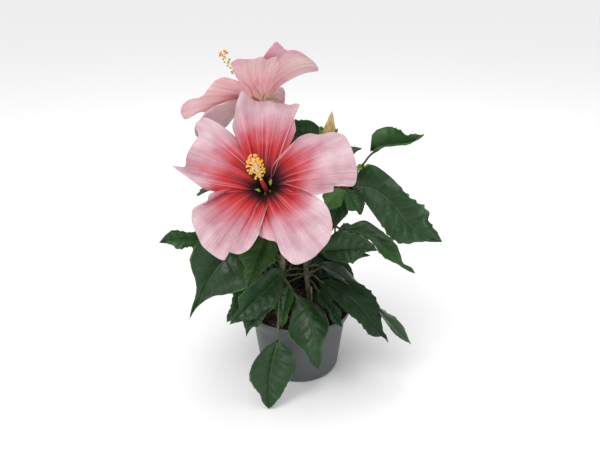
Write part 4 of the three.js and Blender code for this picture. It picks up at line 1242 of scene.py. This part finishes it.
def leaf_finishes(settings):
    """Glossy tops, duller undersides, pale veins and a bright rim, in the order of FINISH."""
    look, (low, high) = BLADE_LOOK, BLADE_LOOK["gloss_from"]
    made = []
    for name, roughness in LEAF_ROUGHNESS.items():
        source, lighter = LIGHTER.get(name, (name, 1))
        colour = shade(getattr(settings, source), lighter)
        finish = Finish(f"leaf_{name}", colour, roughness)
        finish.look(Base_Color=finish.tones(finish.noise(look["tone"], 4), colour, look["tones"]))
        cockles = finish.bump(finish.noise(look["cockle"], 2), look["cockle_height"])
        finish.bump(finish.noise(look["grain"]), look["grain_height"], before=cockles)
        gloss = finish.spread(
            finish.noise(look["gloss"]), roughness - look["glossier"], roughness + look["duller"],
            From_Min=low, From_Max=high)
        # The deep finish, a leaf top in painted shade, also shines less.
        finish.look(Roughness=gloss, Specular_IOR_Level=look["deep_shine" if name == "deep" else "shine"])
        made.append(finish.made)
    return made


def make_leaves(settings):
    """All leaves and stalks, one piece of blades and one of stalks for each mass."""
    finishes = leaf_finishes(settings)
    stalk_finish = mottled("stalk", settings.stalk)
    taken = []
    for mass in MASSES.values():
        taken += [leaf_marks(mass, spec) for spec in mass["leaves"]]
    for bloom in BLOOMS.values():
        for k, shape in enumerate(bloom["petals"]):
            s, t = np.meshgrid(np.linspace(0, 1, 12), np.linspace(-1, 1, 7), indexing="ij")
            taken.append(petal_surface(bloom, shape, k * PETAL["phase"], s.ravel(), t.ravel()))
    for name in LIMBS:
        taken.append(limb_curve(name).at(np.linspace(0, 1, 24)))
    whole = {name: (mass, mass["leaves"]) for name, mass in MASSES.items()}
    whole.update({name: (mass, grow(mass, taken) + FILLERS.get(name, [])) for name, mass in GROWN.items()})
    for order, (name, (mass, leaves)) in enumerate(whole.items()):
        random = np.random.default_rng(100 + order)
        blades, stalks = Parts(), Parts()
        for spec in leaves:
            tip = limb_curve(mass["limb"]).at(1)[0]
            limb_start = tip if spec["height"] > tip[2] else limb_at(mass["limb"], spec["height"])[0]
            add_leaf(blades, stalks, mass, spec, settings, random, limb_start)
        slot = "young_foliage" if name == "leaves_shoot" else "foliage"
        dress(blades.piece(f"{name}_blades", finishes), slot, name)
        dress(stalks.piece(f"{name}_stalks", [stalk_finish]), slot, name)


def petal_finish(name, veins, spots, line, cast, stops):
    """Petal tissue: colour runs out from the eye in streaks, with fine veins along it and a soft cast."""
    finish = Finish(name, stops[-1][1], PETAL_LOOK["roughness"])
    coordinates = finish.nodes.new("ShaderNodeUVMap")
    coordinates.uv_map = UV_NAME
    split = finish.nodes.new("ShaderNodeSeparateXYZ")
    finish.put(split, {"Vector": coordinates.outputs["UV"]})
    run = split.outputs["Y"]

    def streak(kind):
        scale, stretch, detail = STREAKS[kind]
        return finish.noise(scale, detail, (1, stretch, 1), uv=True)

    def swing(factor, share):
        return finish.sum("MULTIPLY", finish.sum("SUBTRACT", factor, 0.5), share)

    def greys(factor, kind):
        return finish.ramp(factor, [(place, (k, k, k)) for place, k in GREYS[kind]])

    def darken(colour, kind, factor, reach=None):
        low, high, tint, share = SHADES[kind]
        if reach is not None:
            share = finish.sum("MULTIPLY", reach, share)
        return finish.blend("MULTIPLY", colour, finish.ramp(factor, [(low, tint), (high, WHITE)]), share)

    # Streaks die out towards the claw, where the eye is dark all over.
    wander = finish.sum("ADD", swing(streak("broad"), spots), swing(streak("fine"), veins))
    wander = finish.sum("MULTIPLY", wander, greys(run, "wander"))
    colour = finish.ramp(finish.sum("ADD", run, wander), stops)
    colour = darken(colour, "dark", streak("dark"))
    pale = greys(streak("pale"), "pale")
    reach = greys(run, "lines")
    colour = finish.blend("MIX", colour, line, finish.sum("MULTIPLY", pale, reach))
    # Painted shade in the petal's soft folds.
    colour = darken(colour, "fold", streak("fold"))
    patches = greys(finish.noise(PETAL_LOOK["patch"], 2), "patches")
    outer = greys(run, "outer")
    colour = finish.blend("MIX", colour, cast, finish.sum("MULTIPLY", patches, outer))
    colour = darken(colour, "thread", streak("thread"), outer)
    colour = darken(colour, "grain", finish.noise(PETAL_LOOK["grain"]))
    finish.bump(streak("ridge"), PETAL_LOOK["ridge_height"])
    finish.look(
        Base_Color=colour, Specular_IOR_Level=PETAL_LOOK["shine"], Subsurface_Weight=PETAL_LOOK["flesh"],
        Subsurface_Radius=PETAL_LOOK["flesh_depth"])
    return finish.made


def add_petal(parts, bloom, shape, k, ruffle, random):
    """One petal with pleats that run out from its claw and a ruffled rim."""
    rows, columns = np.linspace(0, 1, PETAL["rows"]) ** 0.95, np.linspace(-1, 1, PETAL["columns"])
    s, t = np.meshgrid(rows, columns, indexing="ij")
    phases = wave_starts(random, 8)
    grid, reach, side = rimmed_petal(bloom, shape, k * PETAL["phase"], s, t)
    pleats = PETAL["pleat"] * np.sin(PETAL["pleats"] * t + phases[4])
    pleats = pleats * np.sin(math.pi * np.minimum(1, s * 1.1)) ** 0.7
    folds = np.sin(PETAL["folds"] * t + phases[3] + 0.8 * s)
    pleats = pleats + PETAL["fold"] * smoothstep(s, 0.05, 0.8) * folds
    frill = sum(high * np.sin(pace * t + phase) for (high, pace), phase in zip(FRILL, phases[5:]))
    frill = ruffle / MM * s ** 4 * frill
    out = bloom_frame(bloom)[1]
    grid = grid + (bloom["waves"] * (pleats + frill))[..., None] * out
    spread = np.arctan2(side, reach * 2 + 0.1)
    flush = shape.get("flush", 1) * (1 - PETAL["fade"] * np.minimum(1, np.abs(side)) ** 2)
    shown = reach / mix(shape.get("eye", 1), flush, smoothstep(reach, 0.15, 0.45))
    uv = np.stack([spread * 0.6 + 0.5 + 1.37 * k, shown], -1)
    add_slab(parts, grid + normals_of(grid) * PETAL["thickness"] / 2, PETAL["thickness"], 1, 0, uv)


def column_curve(bloom):
    """The centre line of a bloom's column, which bends and sweeps to one side."""
    eye, out, _, _ = bloom_frame(bloom)
    foot, along = eye + out * COLUMN["foot"], out * bloom["column"]
    return Curve([foot, foot + along * 0.5 + np.array(bloom["bend"], float),
                  foot + along + np.array(bloom["sweep"], float)])


def add_ball(parts, centre, axes, finish, rings=6, sides=9):
    """A rounded bead, squashed along its axes."""
    v = np.linspace(0, math.pi, rings + 1)[1:-1, None]
    a = circle(sides)
    grid = np.stack([np.sin(v) * np.cos(a), np.sin(v) * np.sin(a), np.cos(v) * np.ones(sides)], -1)
    add_turned(parts, (grid @ np.array(axes) + centre)[::-1], finish)


def make_column(name, bloom, finishes, random):
    """The bloom's column: a red tube with stamens all round its outer part and five fuzzy pads."""
    _, out, up, right = bloom_frame(bloom)
    curve = column_curve(bloom)
    parts = Parts()

    def radius(t):
        return mix(*COLUMN["radii"], t) * (1 - COLUMN["waist"] * smoothstep(t, 0.3, 0.6))

    def draw(least, more):
        return least + more * random.random()

    shaft, sides = COLUMN["stamens_from"], COLUMN["sides"]
    add_tube(parts, curve, radius, sides, np.linspace(0, shaft, 36))
    add_tube(parts, curve, lambda t: radius(t) * COLUMN["sheath"], sides, np.linspace(shaft - 0.03, 1, 30), 1)
    for k in range(bloom["stamens"]):
        share = (k + 0.5) / bloom["stamens"]
        root = curve.at(mix(shaft, COLUMN["stamens_to"], share ** 0.9))[0]
        arm = unit(spoke(draw(k * STAMEN["turn"], 1), up, right) + out * draw(*STAMEN["forward"]))
        tip = root + arm * draw(*STAMEN["length"]) * bloom["brush"]
        thread = Curve([root, (root + tip) / 2 + out * STAMEN["bow"], tip])
        add_tube(parts, thread, lambda t: STAMEN["radius"] + 0 * t, 5, 5, finish=1)
        across = unit(np.cross(arm, out))
        axes = np.array([across, np.cross(arm, across), arm])
        second = tip + across * STAMEN["beside"] - arm * STAMEN["behind"]
        for place, sac in zip((tip, second), STAMEN["sacs"]):
            add_ball(parts, place, axes * np.array(sac)[:, None], 2)
    end, onward = curve.at(0.97)[0], curve.along(1)[0]
    along, ahead = PAD["bow"]
    for angle in circle(PAD["count"]) + PAD["turn"]:
        arm = unit(spoke(angle, up, right) + onward * PAD["forward"])
        tip = end + arm * PAD["length"]
        style = Curve([end, end + arm * along + onward * ahead, tip])
        add_tube(parts, style, lambda t: PAD["style"] - PAD["thin"] * t, 8, 8, finish=3)
        flat = unit(np.cross(arm, onward))
        axes = [flat * PAD["radius"], np.cross(arm, flat) * PAD["radius"], arm * PAD["depth"]]
        add_ball(parts, tip, axes, 4, rings=8, sides=14)
    dress(parts.piece(f"{name}_column_fine", finishes), "column", f"{name}_column")


def add_lobed_cup(parts, place, out, up, right, cup):
    """A thin green cup whose rim draws out into pointed lobes."""
    sides, rows, lobes = CUP["sides"], CUP["rows"], cup["lobes"]
    a = cup["turn"] + circle(sides)
    lobe = (np.abs((np.arange(sides) * lobes / sides) % 1 - 0.5) * 2) ** 1.25
    spread, climb = cup["lobe"]
    profile = []
    for k in np.linspace(0, 1, rows):
        neck = mix(cup["neck"], cup["radius"], math.sin(math.pi / 2 * min(1, k * 2.4)) ** 0.8)
        height = mix(cup["base"], cup["seat"] + CUP["rise"], k)
        flare = max(0.0, (k - 0.6) / 0.4) ** 1.4
        profile.append((neck + CUP["swell"] * k + spread * lobe * flare, height + climb * lobe * flare))
    inner = [(radius - CUP["wall"], height + 0.1) for radius, height in reversed(profile[CUP["inner_from"]:])]
    ridge = 1 + 0.012 * np.cos(a * lobes * 2)
    rings = [place + spoke(a, up, right) * (radius * ridge)[:, None] + (height + 0 * a)[:, None] * out
             for radius, height in profile + inner]
    finish = np.zeros((len(rings) - 1) * sides + 2 * sides, int)
    finish[(len(profile) - 1) * sides:(len(rings) - 1) * sides] = cup.get("inside", 0)
    add_turned(parts, np.array(rings)[:, ::-1], finish)


def add_bracts(parts, kind, foot, out, up, right, turn):
    """A ring of narrow bracts."""
    (near, low), *onward = BRACTS[kind]
    thick = BRACTS[f"{kind}_radius"]
    for angle in turn + circle(BRACTS["count"]):
        aside = spoke(angle, up, right)
        root = foot + out * low + aside * near
        curve = Curve([root, *[root + aside * far + out * high for far, high in onward]])
        add_tube(parts, curve, lambda t: thick * (1 - t) ** 0.7 + 0.08, 6, 12)


def make_calyx(name, bloom, finishes):
    """The green cup of a bloom, turned so that its lobes lie between the petals, with its bracts."""
    frame_of = bloom_frame(bloom)
    turn = math.radians(bloom["petals"][0]["turn"] + 180 / CALYX["lobes"])
    parts = Parts()
    add_lobed_cup(parts, *frame_of, {**CALYX, "lobe": bloom["lobe"], "turn": turn, "inside": 1})
    add_bracts(parts, "calyx", *frame_of, turn)
    dress(parts.piece(f"{name}_calyx_fine", finishes), "calyx", f"{name}_calyx")


def make_blooms(settings):
    """Both blooms: petals, calyx and column."""
    tissues = {name: petal_finish(name, **tissue) for name, tissue in TISSUES.items()}
    # The calyx's inside is lit with painted light that it gives off itself.
    cup = [mottled("calyx_green"), mottled("calyx_inside")]
    dusts = {"pollen": mottled("pollen", settings.anther), "pollen_olive": mottled("pollen_olive")}
    red, thread, style = [
        Finish(name, colour, roughness).made for name, colour, roughness in (
            ("column_red", "#c43b3a", 0.45), ("filament", "#f0dcb4", 0.55), ("style", "#e7b48c", 0.55))]
    pad = mottled("pad")
    for order, (name, bloom) in enumerate(BLOOMS.items()):
        random = np.random.default_rng(20 + order)
        petals = Parts()
        for k, shape in enumerate(bloom["petals"]):
            add_petal(petals, bloom, shape, k, settings.ruffle, random)
        corolla = petals.piece(f"{name}_corolla", [tissues[tissue] for tissue in bloom["tissue"]])
        dress(corolla, bloom["tissue"][0], f"{name}_petals")
        make_column(name, bloom, [red, thread, dusts[bloom["pollen"]], style, pad], random)
        make_calyx(name, bloom, cup)


def make_bud():
    """The furled bud: a twisted cone of petals in a green cup with narrow bracts."""
    out = unit(np.array(BUD["lean"], float))
    up = unit(np.array([0, 1.0, 0]) - out * out[1])
    right = np.cross(up, out)
    foot = np.array(BUD["base"]) + out * GAP
    length, radius = BUD["length"] + BUD["seat"], BUD["radius"]
    k = np.linspace(0, 1, BUD["rows"])[:, None]
    a = circle(BUD["sides"])[None, :]
    seam = ((a + BUD["furl"] * k) * BUD["petals"] / (2 * math.pi)) % 1
    body = BUD["full"] * radius * (1 - k) ** 0.86 * smoothstep(k, -0.12, 0.16)
    body = body * (0.9 + 0.12 * seam ** 0.7) + 0.05
    middle = foot + out * BUD["foot"] + right * BUD["tip"] * k[..., None]
    grid = middle + spoke(a, up, right) * body[..., None] + (k * (length - 1.5))[..., None] * out
    parts = Parts()
    uv = np.stack(np.broadcast_arrays(seam, k), -1)
    add_turned(parts, grid[:, ::-1], 0, uv[:, ::-1])
    finish = Finish("bud_petal", "#b09a62", 0.5)
    streaks = finish.noise(500, 4, stretch=(1, 1, 0.2))
    finish.look(Base_Color=finish.ramp(streaks, [(0.3, "#8a7340"), (0.5, "#b39a60"), (0.7, "#d8c48c")]))
    finish.bump(streaks, 0.0002)
    dress(parts.piece("bud_furled", [finish.made]), "bud", "bud_petals")

    cup = Parts()
    add_lobed_cup(cup, foot, out, up, right, {
        **CALYX, "base": 0, "seat": BUD["seat"], "radius": radius + 0.6, "lobe": BUD["cup_lobe"],
        "turn": BUD["cup_turn"]})
    add_bracts(cup, "bud", foot, out, up, right, 0)
    dress(cup.piece("bud_cup_fine", [mottled("bud_green")]), "calyx", "bud_cup")


def make_stage(settings):
    """Pale floor, soft light and the camera at the photograph's angle."""
    scene = bpy.context.scene

    def link(name, data, place=(0, 0, 0), turn=(0, 0, 0)):
        made = bpy.data.objects.new(name, data)
        made.location = place
        made.rotation_euler = turn
        scene.collection.objects.link(made)
        return made

    paper = bpy.data.meshes.new("floor")
    corners = [(x * FLOOR["reach"], y * FLOOR["reach"], 0) for x, y in ((-1, -1), (1, -1), (1, 1), (-1, 1))]
    paper.from_pydata(corners, [], [(0, 1, 2, 3)])
    paper.materials.append(Finish("floor_paper", (FLOOR["white"],) * 3, FLOOR["roughness"]).made)
    link("floor", paper)

    scene.view_settings.view_transform = "Standard"
    world = scene.world or bpy.data.worlds.new("studio")
    scene.world = world
    world.use_nodes = True
    sky = world.node_tree.nodes["Background"]
    sky.inputs["Color"].default_value = (*WHITE, 1)
    sky.inputs["Strength"].default_value = SKY
    sun = bpy.data.lights.new("sun", "SUN")
    sun.energy = SUN["power"]
    sun.angle = math.radians(SUN["size"])
    link("sun", sun, turn=(*map(math.radians, SUN["tilt"]), 0))
    for name, lamp in LAMPS.items():
        light = bpy.data.lights.new(name, "AREA")
        light.size = lamp["size"]
        light.energy = lamp["power"]
        x, y, z = np.subtract(lamp["aim"], lamp["place"])
        turn = (math.atan2(math.hypot(x, y), -z), 0, math.atan2(x, -y) + math.pi)
        link(name, light, lamp["place"], turn)

    lens = bpy.data.cameras.new("photo_camera")
    lens.lens = settings.lens
    lens.sensor_width = CAMERA["sensor"]
    lens.clip_start = CAMERA["near"]
    place = (CAMERA["aside"], -settings.distance, settings.height)
    scene.camera = link("photo_camera", lens, place, (math.pi / 2 - settings.pitch, 0, 0))


class HIBISCUS_OT_stage(Operator):
    """Make the floor, the lights and the camera"""
    bl_idname = "hibiscus.stage"
    bl_label = "Stage"

    def execute(self, context):
        make_stage(context.scene.hibiscus_stage)
        return {"FINISHED"}


class HIBISCUS_OT_pot(Operator):
    """Turn the plastic pot"""
    bl_idname = "hibiscus.pot"
    bl_label = "Pot"

    def execute(self, context):
        make_pot(context.scene.hibiscus_pot)
        return {"FINISHED"}


class HIBISCUS_OT_soil(Operator):
    """Fill the pot with soil and strew its crumbs"""
    bl_idname = "hibiscus.soil"
    bl_label = "Soil"

    def execute(self, context):
        make_soil(context.scene.hibiscus_pot)
        return {"FINISHED"}


class HIBISCUS_OT_stems(Operator):
    """Grow the trunks and boughs with their bark"""
    bl_idname = "hibiscus.stems"
    bl_label = "Stems"

    def execute(self, context):
        make_stems(context.scene.hibiscus_stems)
        return {"FINISHED"}


class HIBISCUS_OT_leaves(Operator):
    """Grow every leaf with its stalk"""
    bl_idname = "hibiscus.leaves"
    bl_label = "Leaves"

    def execute(self, context):
        make_leaves(context.scene.hibiscus_leaves)
        return {"FINISHED"}


class HIBISCUS_OT_blooms(Operator):
    """Open both blooms, with petals, columns and calyces"""
    bl_idname = "hibiscus.blooms"
    bl_label = "Blooms"

    def execute(self, context):
        make_blooms(context.scene.hibiscus_blooms)
        return {"FINISHED"}


class HIBISCUS_OT_bud(Operator):
    """Furl the bud in its cup"""
    bl_idname = "hibiscus.bud"
    bl_label = "Bud"

    def execute(self, context):
        make_bud()
        return {"FINISHED"}


STEPS = [HIBISCUS_OT_stage, HIBISCUS_OT_pot, HIBISCUS_OT_soil, HIBISCUS_OT_stems, HIBISCUS_OT_leaves,
         HIBISCUS_OT_blooms, HIBISCUS_OT_bud]
SETTINGS = dict(
    hibiscus_pot=PotSettings, hibiscus_stems=StemSettings, hibiscus_leaves=LeafSettings,
    hibiscus_blooms=BloomSettings, hibiscus_stage=StageSettings,
)


class HIBISCUS_PT_panel(Panel):
    """Steps and settings of the potted hibiscus"""
    bl_label = "Potted Hibiscus"
    bl_idname = "HIBISCUS_PT_panel"
    bl_space_type = "VIEW_3D"
    bl_region_type = "UI"
    bl_category = "Hibiscus"

    def draw(self, context):
        for step in STEPS:
            self.layout.operator(step.bl_idname)
        for name, group in SETTINGS.items():
            box = self.layout.box()
            box.label(text=group.__doc__)
            for field in group.__annotations__:
                box.prop(getattr(context.scene, name), field)


def register():
    for group in SETTINGS.values():
        bpy.utils.register_class(group)
    for name, group in SETTINGS.items():
        setattr(bpy.types.Scene, name, PointerProperty(type=group))
    for step in STEPS:
        bpy.utils.register_class(step)
    bpy.utils.register_class(HIBISCUS_PT_panel)


def unregister():
    bpy.utils.unregister_class(HIBISCUS_PT_panel)
    for step in reversed(STEPS):
        bpy.utils.unregister_class(step)
    for name in SETTINGS:
        delattr(bpy.types.Scene, name)
    for group in reversed(list(SETTINGS.values())):
        bpy.utils.unregister_class(group)


def main():
    register()
    for step in STEPS:
        group, name = step.bl_idname.split(".")
        getattr(getattr(bpy.ops, group), name)()


if __name__ == "__main__":
    main()
